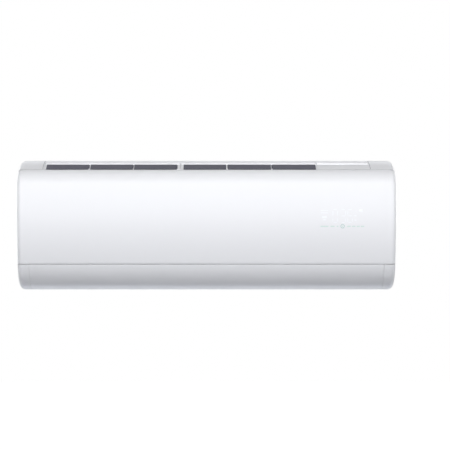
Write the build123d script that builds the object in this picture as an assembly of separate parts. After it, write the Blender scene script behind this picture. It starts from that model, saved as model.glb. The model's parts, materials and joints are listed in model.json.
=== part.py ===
from build123d import *
import os
from math import acos, asin, atan2, cos, degrees, radians, sin, sqrt

# A wall-hung indoor unit. X runs to the right seen from the front, Y into the wall, Z up.
# The origin is the centre of the mounting plate's back face. Side shapes are drawn as
# (depth, height), where depth is the distance out from the wall.

# ---------------------------------------------------------------- overall size and outline
WIDTH = 870.0
HEIGHT = 302.0
DEPTH = 215.0
WALL = 2.5
EDGE_ROUND = 12.0
TOP_ARC_R = 154.0
TOP_ARC_END = 35.0          # tangent angles: 0 along the top, 90 down the front
SHOULDER_R = 38.0
SHOULDER_END = 85.5
BULGE_END = 100.7
FLAP_ARC_R = 75.0

HALF = WIDTH / 2
TOP = HEIGHT / 2
BOTTOM = -HEIGHT / 2


def unit(angle):
    """Outward direction where the outline's tangent has turned by this many degrees."""
    return Vector(sin(radians(angle)), cos(radians(angle)))


def ray(angle):
    """Direction in depth and height, counted from straight out to the front, upwards."""
    return Vector(cos(radians(angle)), sin(radians(angle)))


_top_drop = TOP_ARC_R * (1 - unit(TOP_ARC_END).Y)
_shoulder_drop = SHOULDER_R * (unit(TOP_ARC_END).Y - unit(SHOULDER_END).Y)
_flap_drop = FLAP_ARC_R * (1 + unit(BULGE_END).Y)
BULGE_R = (HEIGHT - _top_drop - _shoulder_drop - _flap_drop) / (
    unit(SHOULDER_END).Y - unit(BULGE_END).Y
)
FLAT_END = (
    DEPTH
    - TOP_ARC_R * unit(TOP_ARC_END).X
    - SHOULDER_R * (unit(SHOULDER_END).X - unit(TOP_ARC_END).X)
    - BULGE_R * (1 - unit(SHOULDER_END).X)
)
TOP_C = Vector(FLAT_END, TOP - TOP_ARC_R)
SHOULDER_C = TOP_C + unit(TOP_ARC_END) * (TOP_ARC_R - SHOULDER_R)
BULGE_C = SHOULDER_C + unit(SHOULDER_END) * (SHOULDER_R - BULGE_R)
BULGE_LOW = BULGE_C + unit(BULGE_END) * BULGE_R
FLAP_C = BULGE_LOW - unit(BULGE_END) * FLAP_ARC_R

# ---------------------------------------------------------------- fits
RUNNING_FIT = 0.06
SEAM = 0.7
LIFT = 0.3                  # gap under a loose seat

# ---------------------------------------------------------------- front panel hinge
PANEL_TOP_ANGLE = 33.0
PANEL_OPENING = 55.0
HINGE_NOSE_R = 5.0
HINGE_PIN_R = 1.8
HINGE_SEAT_R = 3.4
SEAM_TOP = TOP_C + unit(PANEL_TOP_ANGLE) * TOP_ARC_R
HINGE = SEAM_TOP - unit(PANEL_TOP_ANGLE) * HINGE_NOSE_R
CASING_CORNER = PANEL_TOP_ANGLE - PANEL_OPENING / 2 - 6.0
PANEL_BOTTOM = BULGE_LOW.Y + 0.8
EAR_IN = HALF - 30.0
EAR_OUT = EAR_IN + 5.0
EAR_R = 4.5

# ---------------------------------------------------------------- stack behind the panel
FRAME_FRONT = HINGE.X - 2.45
FRAME_T = 2.2
FRAME_BACK = FRAME_FRONT - FRAME_T
FILTER_FRONT = FRAME_BACK - 1.0
FILTER_T = 2.8
FILTER_BACK = FILTER_FRONT - FILTER_T
MESH_T = 0.7
MESH_BACK = FILTER_BACK - MESH_T
RAIL_FRONT = MESH_BACK - LIFT
RAIL_T = 1.7
RAIL_BACK = RAIL_FRONT - RAIL_T
COIL_T = 26.0
COIL_FRONT = RAIL_BACK - 0.5
COIL_BACK = COIL_FRONT - COIL_T

# ---------------------------------------------------------------- fan and air duct
FAN_R = 47.0
FAN = Vector(COIL_BACK - 7.0 - FAN_R, BOTTOM + 129.0)
GUIDE_R = FAN_R + 3.5
GUIDE_T = 3.0
GUIDE_START = 150.0
FLAP_NOSE_R = 8.0
FLAP_OPENING = 80.0
FLAP_PIVOT = Vector(FLAP_C.X - 3.0, BOTTOM + FLAP_NOSE_R)
FLAP_HALF = HALF - 28.0
FLAP_LINER_R = FLAP_ARC_R - 6.0
FLAP_LINER_T = 2.0
LIP_FRONT = FLAP_PIVOT.X - FLAP_NOSE_R - 1.2
LIP_T = 2.5
FLOOR_END = Vector(LIP_FRONT, BOTTOM + 16.0)

_reach = FLOOR_END - FAN
FLOW_ANGLE = degrees(atan2(_reach.Y, _reach.X) + asin(GUIDE_R / _reach.length))
FLOW = ray(FLOW_ANGLE)      # along the outlet floor, to the front and down
ACROSS = ray(FLOW_ANGLE + 90)
GUIDE_FOOT = FAN - ACROSS * GUIDE_R
DUCT_H = 72.0
TONGUE_R = FAN_R + 5.4
_tongue_rise = DUCT_H - GUIDE_R
TONGUE = FAN + ACROSS * _tongue_rise + FLOW * sqrt(TONGUE_R**2 - _tongue_rise**2)
CEILING_KNEE = TONGUE + FLOW * 36.0
CEILING_END = Vector(FRAME_BACK - 0.4, BULGE_LOW.Y + 6.0)
DUCT_LEFT = -HALF + 65.0
DUCT_RIGHT = HALF - 177.0
SIDE_T = 3.0

# ---------------------------------------------------------------- heat exchanger
COIL_LOW = FAN.Y - 23.0
COIL_BEND = FAN.Y + 72.0
COIL_IN = 6.0               # from the duct's walls to the fins
COIL_LEFT = DUCT_LEFT + COIL_IN
COIL_RIGHT = DUCT_RIGHT - COIL_IN
PLATE_T = 1.2
TUBE_R = 3.5
TUBE_PITCH = 21.0
ROW_OFFSET = 6.5
SLABS = (
    (Vector(COIL_BACK + COIL_T / 2, COIL_LOW), Vector(COIL_BACK + COIL_T / 2, COIL_BEND)),
    (Vector(FAN.X + 62.0, COIL_BEND + 16.0), Vector(FAN.X - 7.0 + COIL_T / 2, TOP - 29.0)),
    (Vector(FAN.X - 5.0 - COIL_T / 2, TOP - 33.0), Vector(FAN.X - 60.0, FAN.Y + 44.0)),
)
SLAB_NAMES = ("evaporator_front_lower", "evaporator_front_upper", "evaporator_rear")

# ---------------------------------------------------------------- chassis and mounting
PLATE_SHEET = 1.2
CHASSIS_BACK = 4.0
CHASSIS_T = 2.5
CHASSIS_FRONT = CHASSIS_BACK + CHASSIS_T
CHANNEL_TOP = BOTTOM + 59.0
CHANNEL_FRONT = 60.0
FLOOR_TOP = BOTTOM + WALL
CHASSIS_HALF = HALF - 16.5
PLATE_HALF = 348.0
HOOK_XS = (-270.0, 0.0, 270.0)
HOOK_W = 30.0
HOOK_T = 1.5
HOOK_H = 11.0
HOOK_Z = TOP - 51.0
SCREW_HOLE_R = 2.75
SCREW_PATTERN = (300.0, TOP - 76.0, BOTTOM + 86.0)

# ---------------------------------------------------------------- filters
SEAM_X = DUCT_LEFT + 310.0
FILTER_LEFT = DUCT_LEFT - 4.0
FILTER_RIGHT = DUCT_RIGHT - 4.0
FILTER_SEAM = 0.8
FILTER_EDGE = 6.5
FILTER_RIB = 3.6
GRIP_BACK = FILTER_FRONT - 41.0
GRIP_FRONT = GRIP_BACK + 22.0
CAP_FRONT = HINGE.X - 1.6
CAP_T = 3.0
CELL_FRONT = CAP_FRONT - 1.3
NET_INSET = 1.2
NET_T = 0.5
PAN_FRONT_TOP = COIL_LOW + 1.0
FILTER_LOW = PAN_FRONT_TOP + LIFT
FILTER_COLUMNS = 3
FILTER_ROWS = 3
RAIL_TOP = HINGE.Y - 15.0
WINDOW_LOW = COIL_LOW - 1.0

# ---------------------------------------------------------------- vanes
VANE_PITCH = 60.0
VANES_PER_GROUP = 5
VANE_T = 2.0
VANE_BACK = 18.0
VANE_FRONT = 20.0
VANE_FOOT = 3.0
VANE_TIP = DUCT_H - 10.0
VANE_ROOT = FLOOR_END - FLOW * 24.0
VANE_HUB_R = 3.6
VANE_PIN_R = 2.6
LINK_ARM = 12.0
LINK_PIN_R = 1.5
LINK_T = 3.0
LINK_W = 8.0
GROUP_GAP = 37.0
ACROSS_3D = Vector(0, -ACROSS.X, ACROSS.Y)

# ---------------------------------------------------------------- fasteners, pins and controls
CASING_SCREW_R = 2.0
SCREW_X = HALF - 19.0
SCREW_Z = (COIL_LOW + BULGE_LOW.Y) / 2
SCREW_Z_LEFT = FAN.Y - 8.0
SCREW_PLACES = ((-SCREW_X, SCREW_Z_LEFT), (SEAM_X, SCREW_Z), (SCREW_X, SCREW_Z))
FLAP_PIN_R = 3.0
FLAP_SHAFT_R = 2.5
CENTRE_PIN_R = 2.0
COIL_SCREW_Z = TOP - 81.0
BUTTON_X = HALF - 47.0
BUTTON_Z = FAN.Y + 10.0
BUTTON_R = 3.0
BUTTON_TRAVEL = 1.2

# ---------------------------------------------------------------- fan parts
SHAFT_R = 4.0
WHEEL_LEFT = DUCT_LEFT + 8.0
WHEEL_RIGHT = DUCT_RIGHT - 8.0
WHEEL_BLADES = 35
WHEEL_RINGS = 8
BLADE_T = 1.2
MOTOR_R = 42.0
MOTOR_LEFT = DUCT_RIGHT + 8.0
MOTOR_RIGHT = MOTOR_LEFT + 62.0
BEARING_R = 13.0
CLAMP_LEFT = MOTOR_LEFT + 18.0
CLAMP_RIGHT = CLAMP_LEFT + 24.0

# ---------------------------------------------------------------- pipes and drain
GAS_R = 4.76
LIQUID_R = 3.18
FOAM_WALL = 8.5
GAS_RUN = Vector(21.0, BOTTOM + 22.0)
MOTOR_TO_PIPE = 4.0
LIQUID_RUN = Vector(min(45.0, FAN.X - MOTOR_R - MOTOR_TO_PIPE - LIQUID_R), BOTTOM + 39.0)
GAS_END = -87.0
LIQUID_END = -43.0
UNION_LENGTH = 22.0
GAS_UNION_R = 7.94
LIQUID_UNION_R = 5.56
SPIGOT_R = 8.0
SPIGOT_BORE_R = 6.0
SPIGOT_LENGTH = 20.0
PAN_LEFT = DUCT_LEFT - 6.0
PAN_RIGHT = DUCT_RIGHT + 6.0
PAN_WALL = 2.5
PAN_FLOOR = 2.0
SPIGOT = Vector(COIL_FRONT - 6.0, COIL_LOW - 22.0)

# ---------------------------------------------------------------- electrics
BOX_LEFT = HALF - 83.0
BOX_RIGHT = HALF - 11.0
BOX_WALL = 2.0
BOX_FRONT = RAIL_BACK - 4.0
BOX_LOW = FAN.Y - 18.0
BOX_TOP = TOP - 41.0
DISPLAY_LEFT = HALF - 179.0
DISPLAY_RIGHT = HALF - 60.0
DISPLAY_LOW = FAN.Y + 8.0
DISPLAY_TOP = FAN.Y + 68.0
STEPPER_R = 10.0
STEPPER_LENGTH = 13.0
VANE_STEPPER_R = 12.0
VANE_STEPPER_LENGTH = 18.0
STEPPER_SHAFT_R = 1.25
BOARD_X = BOX_LEFT + 8.0
BOARD_T = 1.6
BOARD_BACK = CHASSIS_FRONT + 8.0
BOARD_FRONT = BOX_FRONT - 10.0
BOARD_LOW = BOX_LOW + 34.0
BOARD_TOP = BOX_TOP - 6.0

os.makedirs("parts", exist_ok=True)


# ---------------------------------------------------------------- drawing helpers
def side_plane(x):
    """Plane across the width at x, drawn in depth and height."""
    return Plane(origin=(x, 0, 0), x_dir=(0, -1, 0), z_dir=(-1, 0, 0))


def prism(profile, x_low, x_high):
    """Carries a side profile along the width."""
    return extrude(side_plane(x_high) * profile, amount=x_high - x_low)


def block(x_low, x_high, depth_low, depth_high, low, high):
    """Box between six planes."""
    middle = Pos((x_low + x_high) / 2, -(depth_low + depth_high) / 2, (low + high) / 2)
    return middle * Box(x_high - x_low, depth_high - depth_low, high - low)


def disc(centre, radius):
    """Circle in a side profile."""
    return Pos(centre.X, centre.Y) * Circle(radius)


def rod(centre, radius, x_low, x_high):
    """Round bar along the width."""
    return prism(disc(centre, radius), x_low, x_high)


def depth_rod(x, height, radius, depth_low, depth_high):
    """Round bar square to the wall."""
    place = Pos(x, -(depth_low + depth_high) / 2, height) * Rot(90, 0, 0)
    return place * Cylinder(radius, depth_high - depth_low)


def polygon(*points):
    """Straight-sided side profile."""
    return make_face(Polyline(*[(p.X, p.Y) for p in points], close=True))


def rectangle(depth_low, depth_high, low, high):
    """Upright rectangle in a side profile."""
    centre = Pos((depth_low + depth_high) / 2, (low + high) / 2)
    return centre * Rectangle(depth_high - depth_low, high - low)


def outline_arc(centre, radius, start, end):
    """Arc of the outline between two tangent angles."""
    angles = (start, (start + end) / 2, end)
    return ThreePointArc(*[centre + unit(angle) * radius for angle in angles])


def outline(inset):
    """The unit's side view, drawn in by a wall."""
    top_line = Line((0, TOP - inset), (FLAT_END, TOP - inset))
    low_line = Line((FLAP_C.X, BOTTOM + inset), (0, BOTTOM + inset))
    back_line = Line((0, BOTTOM + inset), (0, TOP - inset))
    arcs = [
        outline_arc(TOP_C, TOP_ARC_R - inset, 0, TOP_ARC_END),
        outline_arc(SHOULDER_C, SHOULDER_R - inset, TOP_ARC_END, SHOULDER_END),
        outline_arc(BULGE_C, BULGE_R - inset, SHOULDER_END, BULGE_END),
        outline_arc(FLAP_C, FLAP_ARC_R - inset, BULGE_END, 180),
    ]
    return make_face([top_line, *arcs, low_line, back_line])


def front_at(height, inset):
    """Depth of the bulged front at a height."""
    return BULGE_C.X + sqrt((BULGE_R - inset) ** 2 - (height - BULGE_C.Y) ** 2)


def top_at(depth, inset):
    """Height of the sloping top at a depth."""
    if depth < FLAT_END:
        return TOP - inset
    return TOP_C.Y + sqrt((TOP_ARC_R - inset) ** 2 - (depth - FLAT_END) ** 2)


def body(inset):
    """The whole closed outer form with its rounded ends, drawn in by a wall."""
    form = prism(outline(inset), -HALF + inset, HALF - inset)
    ends = [face for face in form.faces() if abs(face.center().X) > HALF - inset - 0.1]
    edges = [edge for face in ends for edge in face.edges() if edge.center().Y < -0.5]
    return fillet(edges, EDGE_ROUND - inset)


def ring_sector(centre, outer, inner, start, end):
    """Part of a ring between two tangent angles."""
    far = outline_arc(centre, outer, start, end)
    near = outline_arc(centre, inner, start, end)
    return make_face([far, Line(far @ 1, near @ 1), near, Line(near @ 0, far @ 0)])


def across_plane(x, base):
    """Plane through a point of the duct, drawn across the flow and along it."""
    return Plane(origin=(x, -base.X, base.Y), x_dir=ACROSS_3D, z_dir=(1, 0, 0))


def across_rod(x, along, radius, low, high):
    """Round bar square to the outlet floor, counted from the vanes' line."""
    base = VANE_ROOT + FLOW * along + ACROSS * low
    plane = Plane(origin=(x, -base.X, base.Y), x_dir=(1, 0, 0), z_dir=ACROSS_3D)
    return extrude(plane * Circle(radius), amount=high - low)


def write(name, shape):
    """Writes one node, as a solid or a group of solids."""
    solids = shape.solids() if not isinstance(shape, list) else [
        solid for piece in shape for solid in piece.solids()
    ]
    export_step(solids[0] if len(solids) == 1 else Compound(solids), f"parts/{name}.step")
    print(f"{name}: {len(solids)}")


# ---------------------------------------------------------------- outer shells
def panel_zone():
    """Side region that belongs to the front panel."""
    out = DEPTH + 60
    corner = HINGE + unit(PANEL_TOP_ANGLE) * 90
    back = HINGE.X - HINGE_NOSE_R
    area = polygon(
        HINGE, corner, Vector(out, corner.Y), Vector(out, PANEL_BOTTOM),
        Vector(back, PANEL_BOTTOM), Vector(back, HINGE.Y),
    )
    return area + disc(HINGE, HINGE_NOSE_R)


def panel_clearance():
    """Side region that the casing's skin leaves to the panel."""
    out = DEPTH + 60
    corner = HINGE + unit(CASING_CORNER) * 90
    back = HINGE.X - HINGE_NOSE_R - SEAM
    low = BULGE_LOW.Y - 0.8
    area = polygon(
        HINGE, corner, Vector(out, corner.Y), Vector(out, low),
        Vector(back, low), Vector(back, HINGE.Y),
    )
    return area + disc(HINGE, HINGE_NOSE_R + SEAM)


def panel_ear(side):
    """Arm from the panel's skin to its hinge pin, with the pin."""
    x_in, x_out = sorted((side * EAR_IN, side * EAR_OUT))
    arm = polygon(
        HINGE + unit(PANEL_TOP_ANGLE) * 4.0, SHOULDER_C + unit(40) * (SHOULDER_R - 1),
        SHOULDER_C + unit(62) * (SHOULDER_R - 1), HINGE + ray(-80) * 4.4,
    )
    ear = prism(arm + disc(HINGE, EAR_R), x_in, x_out)
    pin_in, pin_out = sorted((side * EAR_IN, side * (EAR_OUT + 6.5)))
    return ear + rod(HINGE, HINGE_PIN_R, pin_in, pin_out)


def front_panel(shell):
    """Skin that wraps round both ends, with hinge ears and catches."""
    panel = shell & prism(panel_zone(), -HALF - 1, HALF + 1)
    for side in (-1, 1):
        x_low, x_high = sorted((side * (EAR_OUT + 0.4), side * (EAR_OUT + 6.1)))
        panel -= rod(HINGE, HINGE_SEAT_R + 0.4, x_low, x_high)
        panel += panel_ear(side)
        x = side * HALF * 0.57
        height = PANEL_BOTTOM + 12
        front = front_at(height, 1.0)
        panel += block(x - 6, x + 6, FRAME_FRONT + 2.6, front, height, height + 2)
    return panel


def front_frame():
    """Casing walls behind the panel: window frame, centre post, filter rails and cheeks."""
    low = BULGE_LOW.Y + 4.0
    inner = HALF - WALL - 0.8
    plate = rectangle(FRAME_BACK, FRAME_FRONT, low, TOP) & outline(0.5)
    straight = HALF - EDGE_ROUND - 1
    frame = prism(plate, -straight, straight)
    frame += prism(plate, -inner, inner) & body(WALL + SEAM)
    window_right = FILTER_RIGHT - 5.0
    window_left = FILTER_LEFT + 5.0
    frame -= block(window_left, window_right, FRAME_BACK - 1, FRAME_FRONT + 1, WINDOW_LOW, RAIL_TOP + 2)
    frame += block(SEAM_X - 6, SEAM_X + 6, FRAME_BACK, FRAME_FRONT, WINDOW_LOW - 1, RAIL_TOP + 3)
    for x, inward in ((FILTER_LEFT - 0.6, 1), (SEAM_X, 0), (FILTER_RIGHT + 0.6, -1)):
        web = (x - 3.0, x) if inward > 0 else (x - 1.5, x + 1.5) if inward == 0 else (x, x + 3.0)
        flange = (x - 8, x + 8) if inward == 0 else tuple(sorted((x - inward * 3.0, x + inward * 5.0)))
        frame += block(*web, RAIL_BACK, FRAME_BACK + 0.5, PAN_FRONT_TOP + LIFT, RAIL_TOP)
        frame += block(*flange, RAIL_BACK, RAIL_FRONT, PAN_FRONT_TOP + LIFT, RAIL_TOP)
    step = HINGE.X - HINGE_NOSE_R - SEAM
    rear_wall = rectangle(step - 2.8, step, HINGE.Y - 14, TOP) & outline(0.5)
    rear_wall += rectangle(step - 2.8, FRAME_BACK + 0.5, HINGE.Y - 14, HINGE.Y - 5)
    for x_low, x_high in ((-inner, FILTER_LEFT - 1.4), (FILTER_RIGHT + 1.4, inner)):
        frame += prism(rear_wall, x_low, x_high) & body(WALL - 0.5)
    for side in (-1, 1):
        x_low, x_high = sorted((side * (inner - 8), side * (HALF - WALL + 0.5)))
        frame += block(x_low, x_high, step - 2.8, step, low, HINGE.Y + 2)
        x_low, x_high = sorted((side * (inner - 8), side * inner))
        frame += block(x_low, x_high, step - 2.8, FRAME_BACK + 0.5, low, HINGE.Y + 2)
    frame -= rod(HINGE, HINGE_NOSE_R + SEAM, -HALF, HALF)
    shelf_front = front_at(low, WALL) - 1.3
    frame += block(-FLAP_HALF - 2, FLAP_HALF + 2, FRAME_BACK, shelf_front, low - 2, low + 0.4)
    return frame


def cheek(side):
    """Inner wall at the flap's end, with the seat of its pin or shaft."""
    area = outline(0.5) & (
        rectangle(LIP_FRONT + 1.5, DEPTH, BOTTOM, BULGE_LOW.Y - 0.8)
        + rectangle(LIP_FRONT + 1.5, FRAME_FRONT - 0.5, BOTTOM, BULGE_LOW.Y + 4)
    )
    x_low, x_high = sorted((side * (FLAP_HALF + 0.8), side * (FLAP_HALF + 3.3)))
    return prism(area, x_low, x_high)


def hinge_seat(side):
    """Ear of the casing round the panel's pin."""
    x_low, x_high = sorted((side * (EAR_OUT + 1.0), side * (EAR_OUT + 5.5)))
    arm = polygon(
        HINGE + ray(160) * (HINGE_SEAT_R - 0.1), HINGE + ray(-95) * (HINGE_SEAT_R - 0.1),
        Vector(FRAME_BACK, HINGE.Y - 12), Vector(FRAME_BACK, HINGE.Y + 0.6),
    )
    return prism(arm + disc(HINGE, HINGE_SEAT_R), x_low, x_high)


def grille_slots():
    """Air slots in the flat top, in rows."""
    count_x = 12
    pitch_x = (FILTER_RIGHT - FILTER_LEFT) / count_x
    slots = []
    for column in range(count_x):
        x = FILTER_LEFT + pitch_x * (column + 0.5)
        for row in range(6):
            depth = 30.0 + row * 17.0
            slots.append(block(x - 22, x + 22, depth, depth + 8, TOP - 8, TOP + 2))
    return slots


def front_casing(shell):
    """Outer moulding: top, ends, frame behind the panel and cheeks of the outlet."""
    casing = shell - prism(panel_clearance(), -HALF - 1, HALF + 1)
    casing -= block(-FLAP_HALF - 0.8, FLAP_HALF + 0.8, LIP_FRONT - 2, DEPTH + 1, BOTTOM - 1, BULGE_LOW.Y)
    casing -= block(-CHASSIS_HALF - 0.5, CHASSIS_HALF + 0.5, -1, LIP_FRONT + 1.5, BOTTOM - 1, BOTTOM + 6)
    casing += front_frame()
    for side in (-1, 1):
        casing += cheek(side)
        casing += hinge_seat(side)
        x_low, x_high = sorted((side * (EAR_IN - 1), side * (EAR_OUT + 0.6)))
        casing -= prism(disc(HINGE, EAR_R + 0.8), x_low, x_high)
        x_low, x_high = sorted((side * (EAR_OUT - 1), side * (EAR_OUT + 8)))
        casing -= rod(HINGE, HINGE_PIN_R + RUNNING_FIT, x_low, x_high)
        groove = side * (HALF - 58.0)
        skin = outline(-1.0) - outline(0.8)
        casing -= prism(skin, groove - 0.6, groove + 0.6) & prism(
            rectangle(20, DEPTH, HINGE.Y, TOP + 2), groove - 1, groove + 1)
    for x, height in SCREW_PLACES:
        casing -= depth_rod(x, height, CASING_SCREW_R + 0.15, FRAME_BACK - 1, FRAME_FRONT + 1)
    casing -= Compound([piece.solid() for piece in grille_slots()])
    for front, low in ((FILTER_FRONT + 0.9, RAIL_TOP), (DEPTH, HINGE.Y)):
        casing -= block(FILTER_LEFT - 0.6, FILTER_RIGHT + 0.6, GRIP_BACK - 0.6, front, low, TOP + 5)
    pin_x = -FLAP_HALF - 4
    casing -= rod(FLAP_PIVOT, FLAP_PIN_R + RUNNING_FIT, pin_x, pin_x + 4)
    casing -= rod(FLAP_PIVOT, FLAP_PIN_R + 1.0, FLAP_HALF, FLAP_HALF + 4)
    casing -= depth_rod(BUTTON_X, BUTTON_Z, BUTTON_R + RUNNING_FIT, FRAME_BACK - 1, FRAME_FRONT + 1)
    return casing


# ---------------------------------------------------------------- chassis
def duct_side_area():
    """Side wall of the duct: round the fan and down to the mouth."""
    under = Vector(-LIFT, -LIFT * 1.2)
    mouth = polygon(
        GUIDE_FOOT, FLOOR_END, CEILING_END + under, CEILING_KNEE + under, TONGUE + under,
    )
    return disc(FAN, TONGUE_R - 0.5) + mouth


def guide_area():
    """Section of the curved wall behind the fan and the straight outlet floor."""
    start = 90 - GUIDE_START
    foot = 90 - (FLOW_ANGLE - 90)
    curve = ring_sector(FAN, GUIDE_R + GUIDE_T, GUIDE_R, start, foot - 360)
    back = ACROSS * GUIDE_T
    floor = polygon(GUIDE_FOOT + FLOW * -1, FLOOR_END, FLOOR_END - back, GUIDE_FOOT - back - FLOW)
    return curve + floor


def rear_gutter():
    """Shelf that catches the rear coil's water and carries the guide wall's top."""
    tip = FAN + ray(GUIDE_START) * (GUIDE_R + GUIDE_T / 2)
    shelf = rectangle(CHASSIS_FRONT - 1, tip.X, tip.Y - 1.5, tip.Y + 1.5)
    return shelf + rectangle(tip.X - 1.5, tip.X + 1.0, tip.Y - 1.5, tip.Y + 9)


def channel_area():
    """Section of the pipe channel's walls at the lower back."""
    top = rectangle(CHASSIS_BACK, CHANNEL_FRONT + CHASSIS_T, CHANNEL_TOP, CHANNEL_TOP + CHASSIS_T)
    front = rectangle(CHANNEL_FRONT, CHANNEL_FRONT + CHASSIS_T, BOTTOM + 1, CHANNEL_TOP + 1)
    return top + front


def motor_cradle():
    """Ribs from the back wall that carry the motor, with seats for its clamp."""
    ribs = Part()
    reach = MOTOR_R + 14.0
    for x in (CLAMP_LEFT - 2, CLAMP_RIGHT - 1):
        area = rectangle(CHASSIS_FRONT - 1, FAN.X, FAN.Y - reach, FAN.Y + reach)
        ribs += prism(area - disc(FAN, MOTOR_R + 0.15), x, x + 3)
    for low in (FAN.Y + MOTOR_R + 3, FAN.Y - reach):
        ribs += block(CLAMP_LEFT - 1, CLAMP_RIGHT + 1, FAN.X - 9, FAN.X, low, low + 11)
    for height in clamp_screw_heights():
        ribs -= depth_rod((CLAMP_LEFT + CLAMP_RIGHT) / 2, height, 1.6, FAN.X - 10, FAN.X + 1)
    return ribs


def blanking(x_low, x_high):
    """Wall behind the flap beside the duct."""
    area = polygon(
        FLOOR_END, FLOOR_END - Vector(LIP_T, 0), CEILING_END - FLOW * 3 + Vector(-3, -3),
        CEILING_END + Vector(-2, -3),
    )
    return prism(area, x_low, x_high)


def rear_chassis():
    """Back moulding: wall, pipe channel, guide wall, duct sides, motor cradle and bearing seat."""
    half = HALF - WALL - 0.8
    back = rectangle(CHASSIS_BACK, CHASSIS_FRONT, CHANNEL_TOP, TOP - WALL - 0.8)
    chassis = prism(back, -half, half) & body(WALL + SEAM)
    chassis += prism(channel_area(), -CHASSIS_HALF, CHASSIS_HALF)
    chassis += block(-CHASSIS_HALF, CHASSIS_HALF, CHASSIS_BACK, LIP_FRONT, BOTTOM, FLOOR_TOP)
    chassis += prism(guide_area() + rear_gutter(), DUCT_LEFT - SIDE_T, DUCT_RIGHT + SIDE_T)
    lip = rectangle(LIP_FRONT - LIP_T, LIP_FRONT, BOTTOM, FLOOR_END.Y)
    chassis += prism(lip, -FLAP_HALF, FLAP_HALF)
    for x in (DUCT_LEFT - SIDE_T, DUCT_RIGHT):
        chassis += prism(duct_side_area(), x, x + SIDE_T)
    chassis += blanking(-FLAP_HALF, DUCT_LEFT - SIDE_T + 1)
    chassis += blanking(DUCT_RIGHT + SIDE_T - 1, FLAP_HALF)
    chassis += motor_cradle()
    chassis += rod(FAN, BEARING_R + 3.5, DUCT_LEFT - 14, DUCT_LEFT)
    chassis -= rod(FAN, BEARING_R + LIFT, DUCT_LEFT - 15, DUCT_LEFT + 1)
    chassis -= rod(FAN, SHAFT_R + 3, DUCT_RIGHT - 1, DUCT_RIGHT + SIDE_T + 1)
    for x, height in (SCREW_PLACES[0], SCREW_PLACES[2]):
        arm = block(x - 4.5, x + 4.5, CHASSIS_FRONT - 1, FRAME_BACK - LIFT, height - 6, height + 6)
        chassis += arm - block(x - 2, x + 2, CHANNEL_FRONT + 4, FRAME_BACK - 26, height - 7, height + 7)
        chassis -= depth_rod(x, height, CASING_SCREW_R + RUNNING_FIT, FRAME_BACK - 18, FRAME_BACK)
    for group in range(2):
        for vane in range(VANES_PER_GROUP):
            x = vane_x(group, vane)
            chassis += across_rod(x, 0, VANE_PIN_R + 2.4, -GUIDE_T - 1.5, -1)
            chassis -= across_rod(x, 0, VANE_PIN_R + RUNNING_FIT, -GUIDE_T - 2, 1)
    arm = rectangle(LIP_FRONT - 1, FLAP_PIVOT.X, FLAP_PIVOT.Y - 3, FLAP_PIVOT.Y + 3)
    support = prism(arm + disc(FLAP_PIVOT, 5), SEAM_X - 2, SEAM_X + 2)
    chassis += support - rod(FLAP_PIVOT, CENTRE_PIN_R + RUNNING_FIT, SEAM_X - 3, SEAM_X + 3)
    chassis -= block(
        GAS_DROP_X - 8, LIQUID_DROP_X + 8, CHASSIS_FRONT + 2, CHANNEL_FRONT - 2,
        CHANNEL_TOP - 1, CHANNEL_TOP + CHASSIS_T + 1,
    )
    for x in HOOK_XS:
        seat = HOOK_Z + HOOK_T + LIFT
        chassis -= block(x - HOOK_W / 2 - 2, x + HOOK_W / 2 + 2, 3, 8, seat - HOOK_H - 3, seat)
    for x in (COIL_LEFT - 10, COIL_RIGHT + 10):
        chassis -= depth_rod(x, COIL_SCREW_Z, 1.6, CHASSIS_BACK - 1, CHASSIS_FRONT + 1)
    return chassis


def vane_x(group, vane):
    """Place of a vane across the width."""
    span = VANE_PITCH * (VANES_PER_GROUP - 1)
    first = DUCT_LEFT + GROUP_GAP if group == 0 else DUCT_RIGHT - GROUP_GAP - span
    return first + VANE_PITCH * vane


def mounting_plate():
    """Steel plate on the wall with hooks that carry the chassis."""
    plate = block(-PLATE_HALF, PLATE_HALF, 0, PLATE_SHEET, CHANNEL_TOP + 8, TOP - 33)
    for x in (-SCREW_PATTERN[0], -SCREW_PATTERN[0] / 3, SCREW_PATTERN[0] / 3, SCREW_PATTERN[0]):
        for height in SCREW_PATTERN[1:]:
            plate -= depth_rod(x, height, SCREW_HOLE_R, -1, 3)
    for x in (-PLATE_HALF * 0.5, PLATE_HALF * 0.5):
        for height in (-25.0, 10.0, 45.0):
            plate -= block(x - 30, x + 30, -1, 3, height, height + 8)
    for x in HOOK_XS:
        low, high = x - HOOK_W / 2, x + HOOK_W / 2
        plate += block(low, high, PLATE_SHEET - 0.2, CHASSIS_FRONT + 2, HOOK_Z, HOOK_Z + HOOK_T)
        plate += block(low, high, CHASSIS_FRONT + 0.5, CHASSIS_FRONT + 2, HOOK_Z, HOOK_Z + HOOK_H)
    return plate


# ---------------------------------------------------------------- drain pan
def trough_ends():
    """Both ends of the trough's sloping floor, the rear one clear of the duct's ceiling."""
    depth = COIL_BACK - 4.0 + PAN_WALL
    slope = (CEILING_KNEE.Y - TONGUE.Y) / (CEILING_KNEE.X - TONGUE.X)
    ceiling = TONGUE.Y + (depth - TONGUE.X) * slope
    rear = Vector(depth, max(COIL_LOW - 11.0, ceiling + PAN_FLOOR))
    return rear, Vector(COIL_FRONT + PAN_WALL, COIL_LOW - 15.0)


def trough_floor(depth):
    """Height of the trough's floor at a depth."""
    rear, front = trough_ends()
    return rear.Y + (front.Y - rear.Y) * (depth - rear.X) / (front.X - rear.X)


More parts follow.
